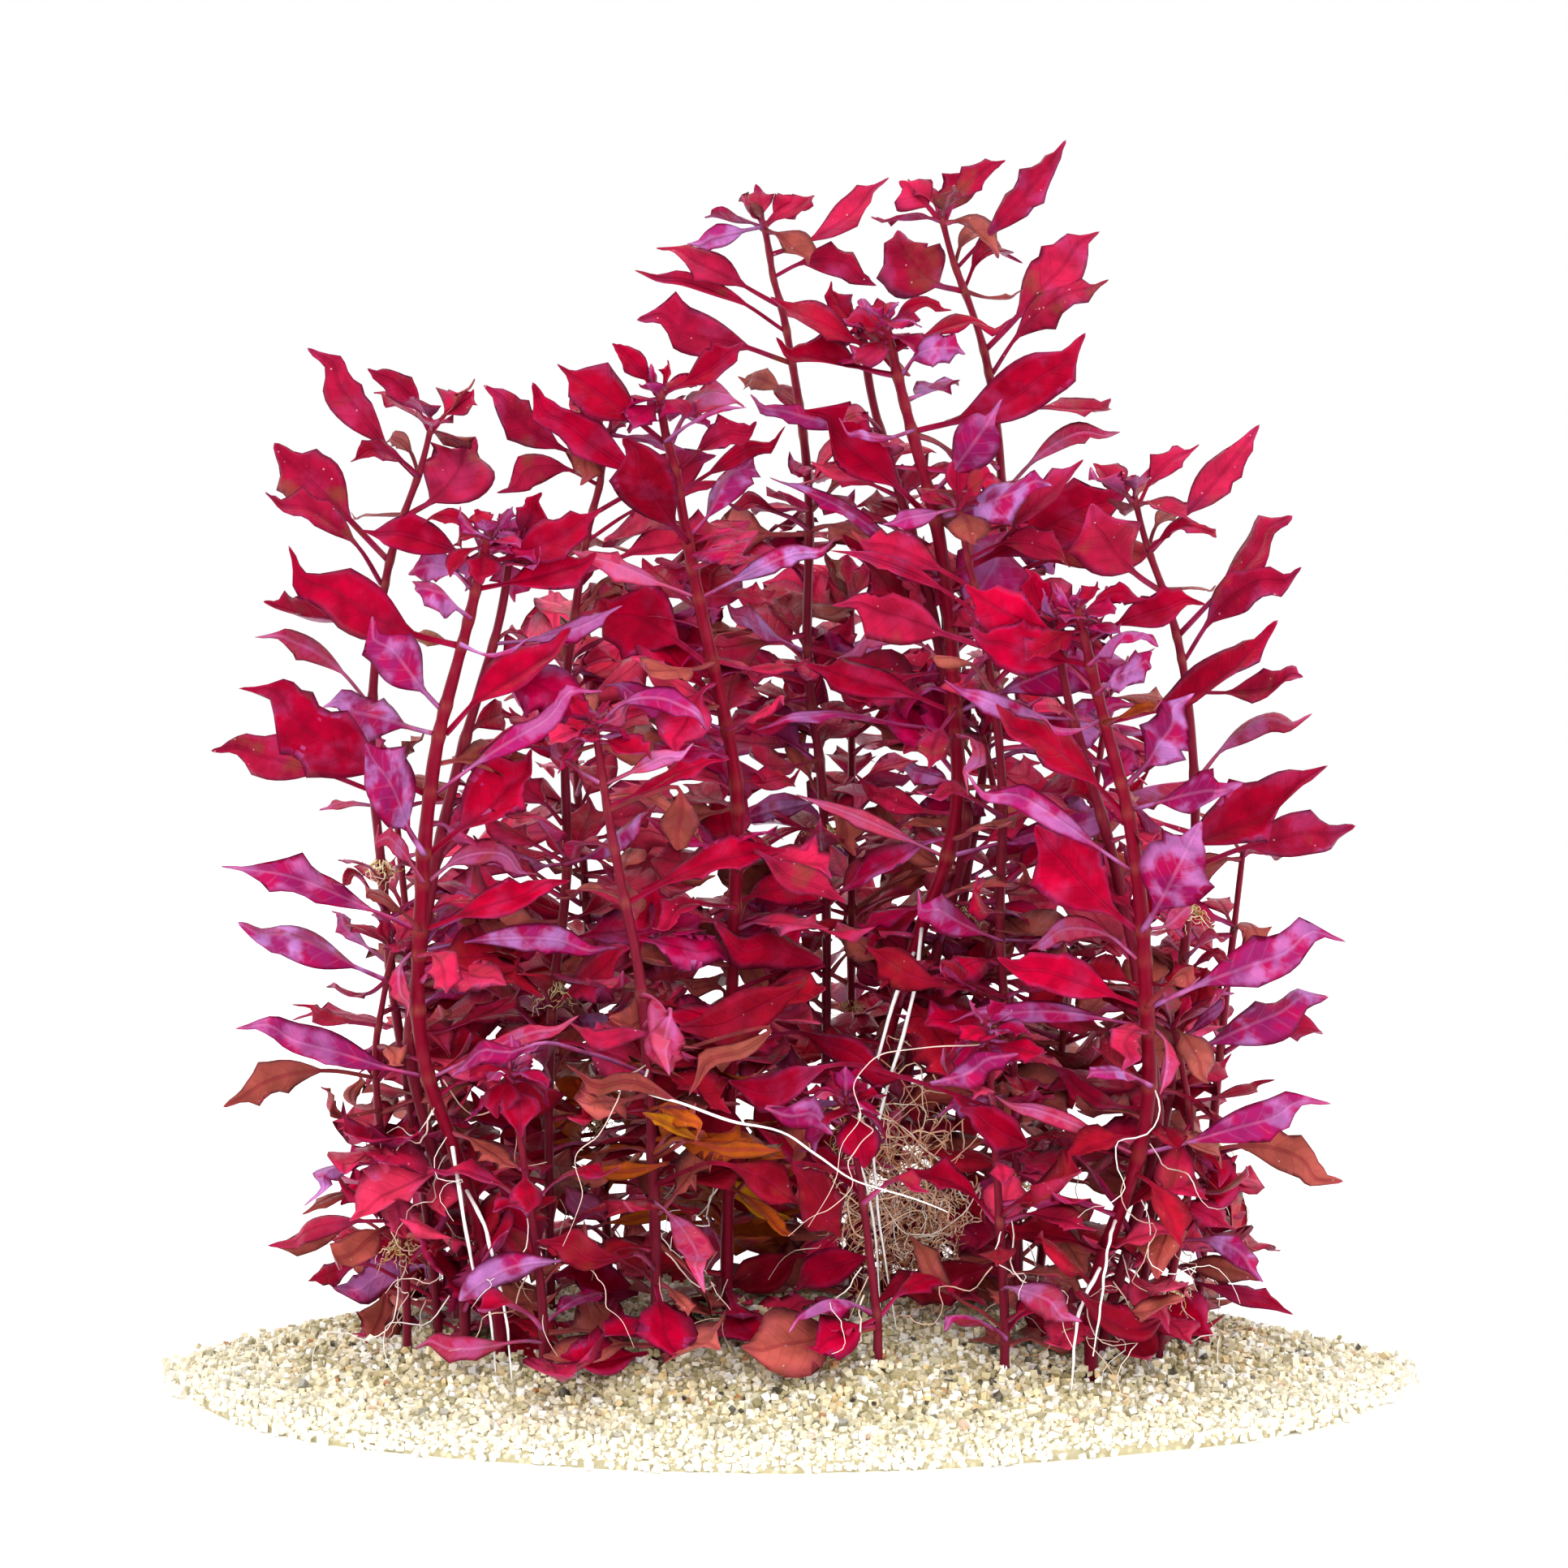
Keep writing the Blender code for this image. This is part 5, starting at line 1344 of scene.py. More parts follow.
    def drawn_leaf(
        self, shoots: list[SolidShoot], row: tuple[Kind | float, ...], rng: Rng
    ) -> tuple[SolidShoot, Patch]:
        """Grow one leaf that is drawn singly from the photograph.

        It lies before what its place shows, at most half as steep as it is long, and no farther
        before the nearest stem than the grower allows, which a bent stalk joins it to.

        Args:
            shoots: All shoots.
            row: Its row of DRAWN_LEAVES.
            rng: Random numbers.

        Returns:
            The shoot that it grows from, and its skin.
        """
        kind, *spots, width = row
        start, tip = np.array(spots[:2]), np.array(spots[2:])
        side = np.array([start[1] - tip[1], tip[0] - start[0]])
        share = np.linspace(0.0, 1.0, 5)
        arch = np.sin(math.pi * share)
        bow = rng.uniform(-0.12, 0.12) * arch
        places = start + (tip - start) * share[:, None] + side * bow[:, None]
        found = np.array([self.sight.foremost(place[None]) for place in places]) - 1.6
        steep = 0.5 * float(np.linalg.norm(tip - start))
        depth = found[0] + np.clip(found[-1] - found[0], -steep, steep) * share
        depth += min(0.0, float((found - depth).min()))
        depth += rng.uniform(-1.6, 0.0) * arch
        first = placed(*places[0], depth[0])
        shoot = self.holder(shoots, first)
        depth = np.maximum(depth, shoot.stem.at(float(first[2]))[0][1] - self.forward)
        blade = np.array([placed(a, b, c) for (a, b), c in zip(places, depth)])
        blade[:, 2] = np.maximum(blade[:, 2], heap_height(blade) + 0.5)
        drop = 0.3 * float(np.linalg.norm(blade[0, :2] - shoot.stem.at(blade[0, 2])[0][:2]))
        root, _ = shoot.stem.at(max(13.0, float(blade[0, 2]) - drop))
        bend = (root + blade[0]) / 2.0 + UP * 0.15 * drop
        line = np.concatenate([[root, bend], blade])
        long = chords(line)
        upward = np.tile(unit(EYE + rng.uniform(-0.3, 0.3, 3) + 0.3 * UP), (len(line), 1))
        stalk = max(0.06, float(long[:2].sum() / long.sum()))
        leaf = Leaf(line, upward, width, kind, toothed=0.5, stalk=stalk)
        patch = leaf.turned_to_view().patch(rng, 7, 22)
        self.thicket.fill(patch.points)
        return shoot, patch

    def crossing_root(
        self, shoots: list[SolidShoot], row: tuple[float | tuple[float, float], ...], rng: Rng
    ) -> tuple[SolidShoot, Patch]:
        """Grow one root that crosses before the leaves, from the stem nearest to its start.

        Args:
            shoots: All shoots.
            row: Its row of CROSSING_ROOTS.
            rng: Random numbers.

        Returns:
            The shoot that it grows from, and its skin.
        """
        radius, *spots = row
        places = np.array(spots)
        depths = np.full(len(places), self.sight.foremost(places) - 0.8)
        first = placed(*places[0], depths[0])
        shoot = self.holder(shoots, first)
        root, _ = shoot.stem.at(float(first[2]) + 1.0)
        depths[0] = min(depths[0] + 4.0, root[1] - 0.5)
        line = np.array([root] + [placed(a, b, c) for (a, b), c in zip(places, depths)])
        shade = "#FFFDFA" if radius > 0.2 else "#ECCCC0"
        return shoot, Thread(line, radius, shade).patch(rng, 50, 5)

    def drawn(self, shoots: list[SolidShoot], rng: Rng) -> dict[str, list[Patch]]:
        """Grow the leaves and roots that are drawn singly.

        Args:
            shoots: All shoots.
            rng: Random numbers.

        Returns:
            The new patches of each shoot.
        """
        grown: dict[str, list[Patch]] = {shoot.name: [] for shoot in shoots}
        for rows, grow in ((DRAWN_LEAVES, self.drawn_leaf), (CROSSING_ROOTS, self.crossing_root)):
            for row in rows:
                shoot, patch = grow(shoots, row, rng)
                self.sight.show(patch.points, 0.0)
                grown[shoot.name].append(patch)
        return grown

    def fibre(self, start: Array, turn: float, long: float, rng: Rng) -> Array:
        """Let a fibre wander down from a point, swinging as it goes, until it meets the sand.

        Args:
            start: The point.
            turn: Direction round the upright.
            long: Its length.
            rng: Random numbers.

        Returns:
            Its middle line.
        """
        share = np.linspace(0.0, 1.0, 12)
        heading = turn + 1.2 * np.sin(share * rng.uniform(5.0, 14.0) + rng.uniform(0.0, TURN))
        fall = rng.uniform(0.4, 1.1) + 0.9 * np.sin(share * rng.uniform(6.0, 14.0))
        way = np.stack([np.cos(heading), np.sin(heading), -fall], axis=-1)
        line = start + np.cumsum(unit(way), axis=0) * long / 12.0
        above = line[:, 2] > heap_height(line) - 0.3
        return line if above.all() else line[: max(3, int(np.argmin(above)) + 1)]

    def fine_roots(self, shoot: SolidShoot, rng: Rng) -> list[Thread]:
        """Let thin roots wander down from the lowest joints to the sand.

        Args:
            shoot: The shoot.
            rng: Random numbers.

        Returns:
            Seven roots of a stout stem, or three.
        """
        stem = shoot.stem
        count, high = (7, 54.0) if stem.stout else (3, 34.0)
        threads = []
        for k in range(count):
            turn = rng.uniform(math.pi * 0.95, math.pi * 2.05)
            start, _ = stem.at(rng.uniform(16.0, max(18.0, min(high, stem.top - 10.0))))
            line = self.fibre(start, turn, rng.uniform(14.0, 34.0), rng)
            threads.append(Thread(line, rng.uniform(0.08, 0.16), self.fine[k % len(self.fine)]))
        return threads

    def dead_tuft(self, shoot: SolidShoot, rng: Rng) -> list[Thread]:
        """Hang a tuft of short yellow dead roots from a joint.

        Args:
            shoot: The shoot.
            rng: Random numbers.

        Returns:
            The roots.
        """
        start, _ = shoot.stem.at(rng.uniform(0.25, 0.6) * shoot.stem.top)
        threads = []
        for k in range(20):
            line = self.fibre(start, rng.uniform(0.0, TURN), rng.uniform(3.0, 9.0), rng)
            threads.append(Thread(line, rng.uniform(0.08, 0.13), self.dead[k % len(self.dead)]))
        return threads


@dataclass
class ShootPiece:
    """A dressed shoot that stands for its packed one.

    Attributes:
        shoot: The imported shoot, as read back.
        number: Its place among the shoots, which seeds it.
        root_radius: Radius of its hanging roots.
    """

    shoot: SolidShoot
    number: int
    root_radius: float = 0.31

    def solid_patches(self, grower: Grower) -> list[Patch]:
        """Dress the solid's own stem, leaves and roots, and mark the space that they take.

        Args:
            grower: What keeps the space.

        Returns:
            The patches.
        """
        rng = np.random.default_rng(100 + self.number)
        patches = [self.shoot.stem.patch(rng)]
        grower.sight.show(patches[0].points, BARE_FROM.get(self.shoot.name, 200.0))
        for leaf in self.shoot.leaves:
            # Painted light: leaves inside the dense outline are brightened by 1.44, the others by 1.03.
            light = 1.44 if in_outline(seen(leaf.points[-1])) else 1.03
            patches.append(replace(leaf, light=light).turned_to_view().patch(rng))
            grower.thicket.fill(patches[-1].points)
            grower.sight.show(patches[-1].points)
        for line in self.shoot.roots:
            patches.append(Thread(line, self.root_radius, "#FFFFFF").patch(rng))
            grower.sight.show(patches[-1].points, 8.0)
        return patches

    def small_patches(self, grower: Grower) -> list[Patch]:
        """Grow what the solid leaves to the scene: crown, fine roots and small leaves.

        Args:
            grower: What grows them.

        Returns:
            The patches.
        """
        rng = np.random.default_rng(500 + self.number)
        patches = [leaf.patch(rng, 7, 14) for leaf in grower.crown(self.shoot, rng)]
        for patch in patches:
            grower.sight.show(patch.points)
        threads = grower.fine_roots(self.shoot, rng)
        if self.shoot.thin:
            threads += grower.dead_tuft(self.shoot, rng)
        patches += [thread.patch(rng, 20, 3) for thread in threads]
        return patches + grower.bare_leaves(self.shoot, rng)


# Settings that many of the materials' nodes share.
SMOOTH = {"interpolation_type": "SMOOTHSTEP"}
COLOURS = {"data_type": "RGBA"}


def add_node(
    tree: bpy.types.NodeTree, kind: str, feeds: dict[int | str, object] | tuple = (),
    **settings: object,
) -> bpy.types.bpy_prop_collection:
    """Add a node with its settings and links.

    Args:
        tree: The material's nodes.
        kind: Blender's name of the node, after ShaderNode.
        feeds: What its inputs take, in order, or by number or name: another node's output, a
            value, or a hex colour.
        **settings: The node's own properties.

    Returns:
        The node's outputs.
    """
    node = tree.nodes.new(f"ShaderNode{kind}")
    for name, value in settings.items():
        setattr(node, name, value)
    for place, feed in feeds.items() if isinstance(feeds, dict) else enumerate(feeds):
        if isinstance(feed, bpy.types.NodeSocket):
            tree.links.new(feed, node.inputs[place])
        else:
            node.inputs[place].default_value = paint(feed) if isinstance(feed, str) else feed
    return node.outputs


def new_material(name: str) -> tuple[bpy.types.Material, Callable]:
    """Return a new material without nodes, and the function that adds nodes to it."""
    material = bpy.data.materials.new(name)
    material.use_nodes = True
    material.node_tree.nodes.clear()
    return material, partial(add_node, material.node_tree)


def own_millimetres(add: Callable) -> bpy.types.NodeSocket:
    """Return the piece's own coordinates in millimetres."""
    spot = add("TexCoord")["Object"]
    return add("VectorMath", {0: spot, "Scale": 1000.0}, operation="SCALE")[0]


@dataclass(frozen=True)
class LeafSkin:
    """Waxy skin of a living leaf.

    The cuticle gives a soft satin gleam, the veins run forward from the midrib and show darker on
    the red upper side and paler on the violet underside, and the margin has a thin dark line.
    Lilac patches on both sides are painted sheen, a highlight laid into the colour.

    Attributes:
        vein_gap: Distance between side veins.
        midrib: Width of the midrib.
        cloud: Size of lighter, darker or flushed patches.
        painted_sheen: Size of the patches of painted lilac sheen.
        stain: Size of the olive stains of dusty leaves.
        fine: Size of the finest relief.
        speck_gap: Distance between pale specks of dusty leaves.
        roughness: Lowest and highest roughness.
        upper: Colours of the upper side's painted lilac sheen and veins.
        under: Colours of the underside's flush, painted lilac sheen and veins.
        marks: Colours of stains, of the line along the margin, and of specks.
        gleam: Colours of the gleam and of the sheen.
    """

    vein_gap: float = 2.3
    midrib: float = 0.3
    cloud: float = 3.4
    painted_sheen: float = 5.0
    stain: float = 6.0
    fine: float = 0.7
    speck_gap: float = 2.0
    roughness: tuple[float, float] = (0.32, 0.52)
    upper: tuple[str, str] = ("#A8549C", "#7A0A2A")
    under: tuple[str, str, str] = ("#98043C", "#B074B8", "#CC80B4")
    marks: tuple[str, str, str] = ("#6E4A2A", "#5A1424", "#E8C8CC")
    gleam: tuple[str, str] = ("#D8507C", "#D070C8")

    def make(self) -> bpy.types.Material:
        """Make the material.

        A vertex's place holds its distances from the midrib and from the base, and its side. Its
        share holds how far it is to the margin and to the tip, and the leaf's strength of painted sheen.

        Returns:
            The material.
        """
        skin, add = new_material("ludwigia_leaf_skin")
        tint = add("Attribute", attribute_name="tint")
        place = add("Attribute", attribute_name="place")["Vector"]
        share = add("Attribute", attribute_name="share")["Vector"]
        across, along, side = add("SeparateXYZ", (place,))
        # The share's third value is the leaf's strength of painted lilac sheen.
        to_margin, to_tip, sheen_strength = add("SeparateXYZ", (share,))
        spot = own_millimetres(add)
        cloudy, broad, stained, fine = (
            add("TexNoise", {"Vector": spot, "Scale": 1.0 / size, "Detail": 3.0})[0]
            for size in (self.cloud, self.painted_sheen, self.stain, self.fine)
        )
        # Side veins run where the distance from the base, less 0.85 of that from the midrib, is a
        # whole number of gaps, and stray a little.
        away = add("Math", (across,), operation="ABSOLUTE")[0]
        slant = add("Math", (away, -0.85, along), operation="MULTIPLY_ADD")[0]
        stray = add("Math", (cloudy, 1.6, slant), operation="MULTIPLY_ADD")[0]
        turns = add("Math", (stray, self.vein_gap), operation="DIVIDE")[0]
        beat = add("Math", (turns,), operation="FRACT")[0]
        off_beat = add("Math", (beat, 0.5), operation="SUBTRACT")[0]
        from_vein = add("Math", (off_beat,), operation="ABSOLUTE")[0]
        side_vein = add("MapRange", (from_vein, 0.02, 0.13, 1.0, 0.0), **SMOOTH)[0]
        inner = add("MapRange", (to_margin, 0.6, 0.98, 0.35, 0.0525), **SMOOTH)[0]
        faint = add("Math", (side_vein, inner), operation="MULTIPLY")[0]
        rib = (away, 0.4 * self.midrib, 1.4 * self.midrib, 1.0, 0.0)
        veins = add("Math", (add("MapRange", rib, **SMOOTH)[0], faint), operation="MAXIMUM")[0]
        # Painted lilac sheen lies on the upper side in patches, most at the base and at the tip.
        base_end = add("MapRange", (to_tip, 0.0, 0.3, 0.3, 0.0), **SMOOTH)[0]
        tip_end = add("MapRange", (to_tip, 0.7, 1.0, 0.0, 0.4), **SMOOTH)[0]
        ends = add("Math", (base_end, tip_end), operation="ADD")[0]
        wide = add("MapRange", (broad, 0.35, 0.6), **SMOOTH)[0]
        at_ends = add("Math", (ends, wide), operation="MULTIPLY")[0]
        anywhere = add("MapRange", (broad, 0.5, 0.7, 0.0, 0.4), **SMOOTH)[0]
        painted_sheen = add("Math", (anywhere, at_ends), operation="ADD")[0]
        painted_sheen = add("Math", (painted_sheen, sheen_strength), operation="MULTIPLY")[0]
        flush = add("MapRange", (cloudy, 0.44, 0.6, 0.0, 0.75), **SMOOTH)[0]
        # Painted lilac sheen also lies on the underside, in broad patches.
        lilac = add("MapRange", (broad, 0.45, 0.61, 0.0, 0.76), **SMOOTH)[0]
        lilac = add("Math", (lilac, sheen_strength), operation="MULTIPLY")[0]
        dark_veins, pale_veins = (
            add("Math", (veins, strength), operation="MULTIPLY")[0] for strength in (0.4, 0.22)
        )
        sides = [tint["Color"], tint["Color"]]
        for k, shades, factors in (
            (0, self.upper, (painted_sheen, dark_veins)), (1, self.under, (flush, lilac, pale_veins)),
        ):
            for shade, factor in zip(shades, factors):
                sides[k] = add("Mix", {0: factor, 6: sides[k], 7: shade}, **COLOURS)[2]
        body = add("Mix", {0: side, 6: sides[0], 7: sides[1]}, **COLOURS)[2]
        cloud = add("MapRange", (cloudy, 0.3, 0.72, 0.74, 1.22), **SMOOTH)[0]
        grey = add("CombineColor", (cloud, cloud, cloud))[0]
        body = add("Mix", {0: 1.0, 6: body, 7: grey}, blend_type="MULTIPLY", **COLOURS)[2]
        # Only dusty leaves, which tint's alpha tells, have stains and specks.
        cells = add("TexVoronoi", {"Vector": spot, "Scale": 1.0 / self.speck_gap}, feature="F1")
        stain = add("MapRange", (stained, 0.55, 0.7, 0.0, 0.5), **SMOOTH)[0]
        speck = add("MapRange", (cells["Distance"], 0.04, 0.09, 0.6, 0.0), **SMOOTH)[0]
        stain, speck = (
            add("Math", (mark, tint["Alpha"]), operation="MULTIPLY")[0] for mark in (stain, speck)
        )
        rim = add("MapRange", (to_margin, 0.9, 1.0, 0.0, 0.22), **SMOOTH)[0]
        for shade, factor in zip(self.marks, (stain, rim, speck)):
            body = add("Mix", {0: factor, 6: body, 7: shade}, **COLOURS)[2]
        # Veins lie in the upper side and stand out from the underside.
        outward = add("Math", (side, 2.0, -1.0), operation="MULTIPLY_ADD")[0]
        grain = add("Math", (fine, 0.5), operation="MULTIPLY")[0]
        height = add("Math", (veins, outward, grain), operation="MULTIPLY_ADD")[0]
        relief = add("Bump", {"Height": height, "Strength": 0.7, "Distance": 0.00018})[0]
        shader = add("BsdfPrincipled", {
            "Base Color": body,
            "Roughness": add("MapRange", (fine, 0.3, 0.7, *self.roughness), **SMOOTH)[0],
            "Normal": relief,
            "Specular IOR Level": 0.16,
            "Specular Tint": self.gleam[0],
            "Sheen Weight": 0.02,
            "Sheen Roughness": 0.5,
            "Sheen Tint": self.gleam[1],
        })[0]
        add("OutputMaterial", {"Surface": shader})
        return skin


@dataclass(frozen=True)
class StemSkin:
    """Smooth skin of a living stem.

    It is darker and glossier than the leaves, with faint lengthwise streaks and tan joints.

    Attributes:
        streak: Width of the streaks.
        stretch: Factor on the height, which draws the streaks out.
        blotch: Size of the paler blotches.
        roughness: How matt it is.
        shades: Colours of streaks and of blotches.
        gleam: Colour of the gleam.
    """

    streak: float = 0.5
    stretch: float = 0.12
    blotch: float = 4.0
    roughness: float = 0.36
    shades: tuple[str, str] = ("#5A0A20", "#86283A")
    gleam: str = "#E07090"

    def make(self) -> bpy.types.Material:
        """Make the material.

        Returns:
            The material.
        """
        skin, add = new_material("ludwigia_stem_skin")
        spot = own_millimetres(add)
        drawn = add("Mapping", {0: spot, "Scale": (1.0, 1.0, self.stretch)}, vector_type="POINT")[0]
        streaks, blotches = (
            add("TexNoise", {"Vector": vector, "Scale": 1.0 / size, "Detail": 3.0})[0]
            for vector, size in ((drawn, self.streak), (spot, self.blotch))
        )
        streaky = add("MapRange", (streaks, 0.35, 0.7, 0.0, 0.45), **SMOOTH)[0]
        blotchy = add("MapRange", (blotches, 0.5, 0.7, 0.0, 0.3), **SMOOTH)[0]
        body = add("Attribute", attribute_name="tint")["Color"]
        for shade, factor in zip(self.shades, (streaky, blotchy)):
            body = add("Mix", {0: factor, 6: body, 7: shade}, **COLOURS)[2]
        relief = add("Bump", {"Height": streaks, "Strength": 0.5, "Distance": 0.0001})[0]
        shader = add("BsdfPrincipled", {
            "Base Color": body, "Normal": relief, "Roughness": self.roughness,
            "Specular IOR Level": 0.25, "Specular Tint": self.gleam,
        })[0]
        add("OutputMaterial", {"Surface": shader})
        return skin


@dataclass(frozen=True)
class RootSkin:
    """Soft white water root.

    It is nearly white with a faint tan mottling, and matt like damp paper.

    Attributes:
        mottle: Size of the mottling.
        roughness: How matt it is.
        shade: Colour of the mottling.
    """

    mottle: float = 1.6
    roughness: float = 0.55
    shade: str = "#C8B098"

    def make(self) -> bpy.types.Material:
        """Make the material.

        Returns:
            The material.
        """
        skin, add = new_material("white_water_root")
        tint = add("Attribute", attribute_name="tint")["Color"]
        spot = own_millimetres(add)
        mottling = add("TexNoise", {"Vector": spot, "Scale": 1.0 / self.mottle, "Detail": 3.0})[0]
        factor = add("MapRange", (mottling, 0.55, 0.8, 0.0, 0.18), **SMOOTH)[0]
        body = add("Mix", {0: factor, 6: tint, 7: self.shade}, **COLOURS)[2]
        relief = add("Bump", {"Height": mottling, "Strength": 0.4, "Distance": 0.0001})[0]
        feeds = {"Base Color": body, "Normal": relief, "Roughness": self.roughness}
        add("OutputMaterial", {"Surface": add("BsdfPrincipled", feeds)[0]})
        return skin


@dataclass(frozen=True)
class QuartzGrain:
    """Loose quartz sand, water-worn.

    Each grain has one colour of its own, slightly clouded, with the dull gleam of worn quartz.

    Attributes:
        cloud: Size of the clouds in a grain.
        roughness: Lowest and highest roughness.
        shade: Colour of the clouds.
    """

    cloud: float = 0.8
    roughness: tuple[float, float] = (0.34, 0.56)
    shade: str = "#B8AC88"

    def make(self) -> bpy.types.Material:
        """Make the material.

        Returns:
            The material.
        """
        skin, add = new_material("worn_quartz_grain")
        tint = add("Attribute", attribute_name="tint")["Color"]
        spot = own_millimetres(add)
        clouds = add("TexNoise", {"Vector": spot, "Scale": 1.0 / self.cloud, "Detail": 3.0})[0]
        factor = add("MapRange", (clouds, 0.4, 0.7, 0.0, 0.3), **SMOOTH)[0]
        body = add("Mix", {0: factor, 6: tint, 7: self.shade}, **COLOURS)[2]
        dull = add("MapRange", (clouds, 0.3, 0.7, *self.roughness), **SMOOTH)[0]
        shader = add("BsdfPrincipled", {"Base Color": body, "Roughness": dull})[0]
        add("OutputMaterial", {"Surface": shader})
        return skin


@dataclass(frozen=True)
class PackedSand:
    """Sand below the loose grains, seen only between them.

    Cells of the grains' own size carry their colours, with painted shade in the gaps between them.

    Attributes:
        grain: Size of a grain.
        roughness: How matt it is.
        light: Colour of a grain's middle.
        shades: Colours of the painted shade in the gaps, and of the darker grains.
    """

    grain: float = 1.2
    roughness: float = 0.75
    light: str = "#F0E4C0"
    shades: tuple[str, str] = ("#A89C74", "#B4AC8C")

    def make(self) -> bpy.types.Material:
        """Make the material.

        Returns:
            The material.
        """
        skin, add = new_material("packed_quartz_sand")
        cells = add("TexVoronoi", {"Vector": own_millimetres(add), "Scale": 1.0 / self.grain})
        # Painted shade: the gaps between the cells are darkened.
        gaps = add("MapRange", (cells["Distance"], 0.1, 0.6, 0.0, 0.8), **SMOOTH)[0]
        darker = add("MapRange", (cells["Color"], 0.2, 0.8, 0.0, 0.7), **SMOOTH)[0]
        body = self.light
        for shade, factor in zip(self.shades, (gaps, darker)):
            body = add("Mix", {0: factor, 6: body, 7: shade}, **COLOURS)[2]
        humps = {"Height": cells["Distance"], "Strength": 0.8, "Distance": 0.0004}
        relief = add("Bump", humps, invert=True)[0]
        feeds = {"Base Color": body, "Normal": relief, "Roughness": self.roughness}
        add("OutputMaterial", {"Surface": add("BsdfPrincipled", feeds)[0]})
        return skin


@dataclass
class RootTangle:
    """Mat of fine curly roots at the foot of the middle clump, in place of the solid pad.

    Attributes:
        curled: Number of short fibres, low on the right.
        sweeping: Number of long fibres that cross the whole pad.
        radius: Radius of a fibre.
        steps: Points of a fibre.
        shades: Colours, and the share of fibres that have each.
    """

    curled: int = 190
    sweeping: int = 64
    radius: float = 0.11
    steps: int = 22
    shades: tuple[tuple[str, float], ...] = (
        ("#F4CCAC", 0.3), ("#D89C78", 0.24), ("#FFF4E6", 0.14), ("#AC7040", 0.12), ("#E8AC98", 0.2),
    )

    def walk(self, length: float, quick: float, rng: Rng) -> Array:
        """Wander: on each axis the steps are the sum of a slow and a quick sine.

        Args:
            length: Length of the line.
            quick: Strength of the quick sine.
            rng: Random numbers.

        Returns:
            The line, round its own middle.
        """
        share = np.linspace(0.0, 1.0, self.steps)[:, None]
        slow, fast = (
            np.sin(2.0 * math.pi * rng.uniform(*span, 3) * share + rng.uniform(0.0, TURN, 3))
            for span in ((0.2, 0.9), (1.2, 3.0))
        )
        way = slow + quick * fast + rng.normal(0.0, 0.15, (self.steps, 3))
        line = np.cumsum(unit(way) * (1.0, 0.45, 1.0), axis=0) * length / self.steps
        return line - line.mean(axis=0)

    def grow(self) -> PieceMesh:
        """Lay out the fibres.

        Places in the pad are shares of its half size from its middle. A point farther out than
        0.8 of that ellipsoid is drawn in to 0.8 + 0.4 tanh((r - 0.8) / 0.4).

        Returns:
            The mat, not yet made into an object.
        """
        low, high = (np.array(corner) * 1000.0 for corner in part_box("root_tangle"))
        middle = (low + high) / 2.0
        half = (high - low) / 2.0
        rng = np.random.default_rng(77)
        weights = [weight for _, weight in self.shades]
        piece = PieceMesh("fine_root_mat")
        for number in range(self.curled + self.sweeping):
            sweeps = number >= self.curled
            if sweeps:
                line = self.walk(rng.uniform(20.0, 48.0), 0.22, rng)
                start = rng.normal(0.0, 0.3, 3) - (0.16, 0.3, -0.1)
            else:
                line = self.walk(rng.uniform(8.0, 20.0), 1.1, rng)
                start = rng.normal(0.0, (0.34, 0.4, 0.3)) + (0.3, 0.0, -0.36)
            way = start + line / half
            far = np.linalg.norm(way, axis=1, keepdims=True)
            way = way * np.where(far > 0.8, 0.8 + 0.4 * np.tanh((far - 0.8) / 0.4), far)
            line = middle + half * way / np.maximum(far, 0.01)
            line[:, 2] = np.maximum(line[:, 2], heap_height(line) - 0.4)
            shade, _ = self.shades[int(rng.choice(len(weights), p=weights))]
            thick = self.radius * rng.uniform(0.7, 1.2) * (1.15 if sweeps else 1.0)
            piece.patches.append(Thread(line, thick, shade, 0).patch(rng, self.steps, 3))
        return piece


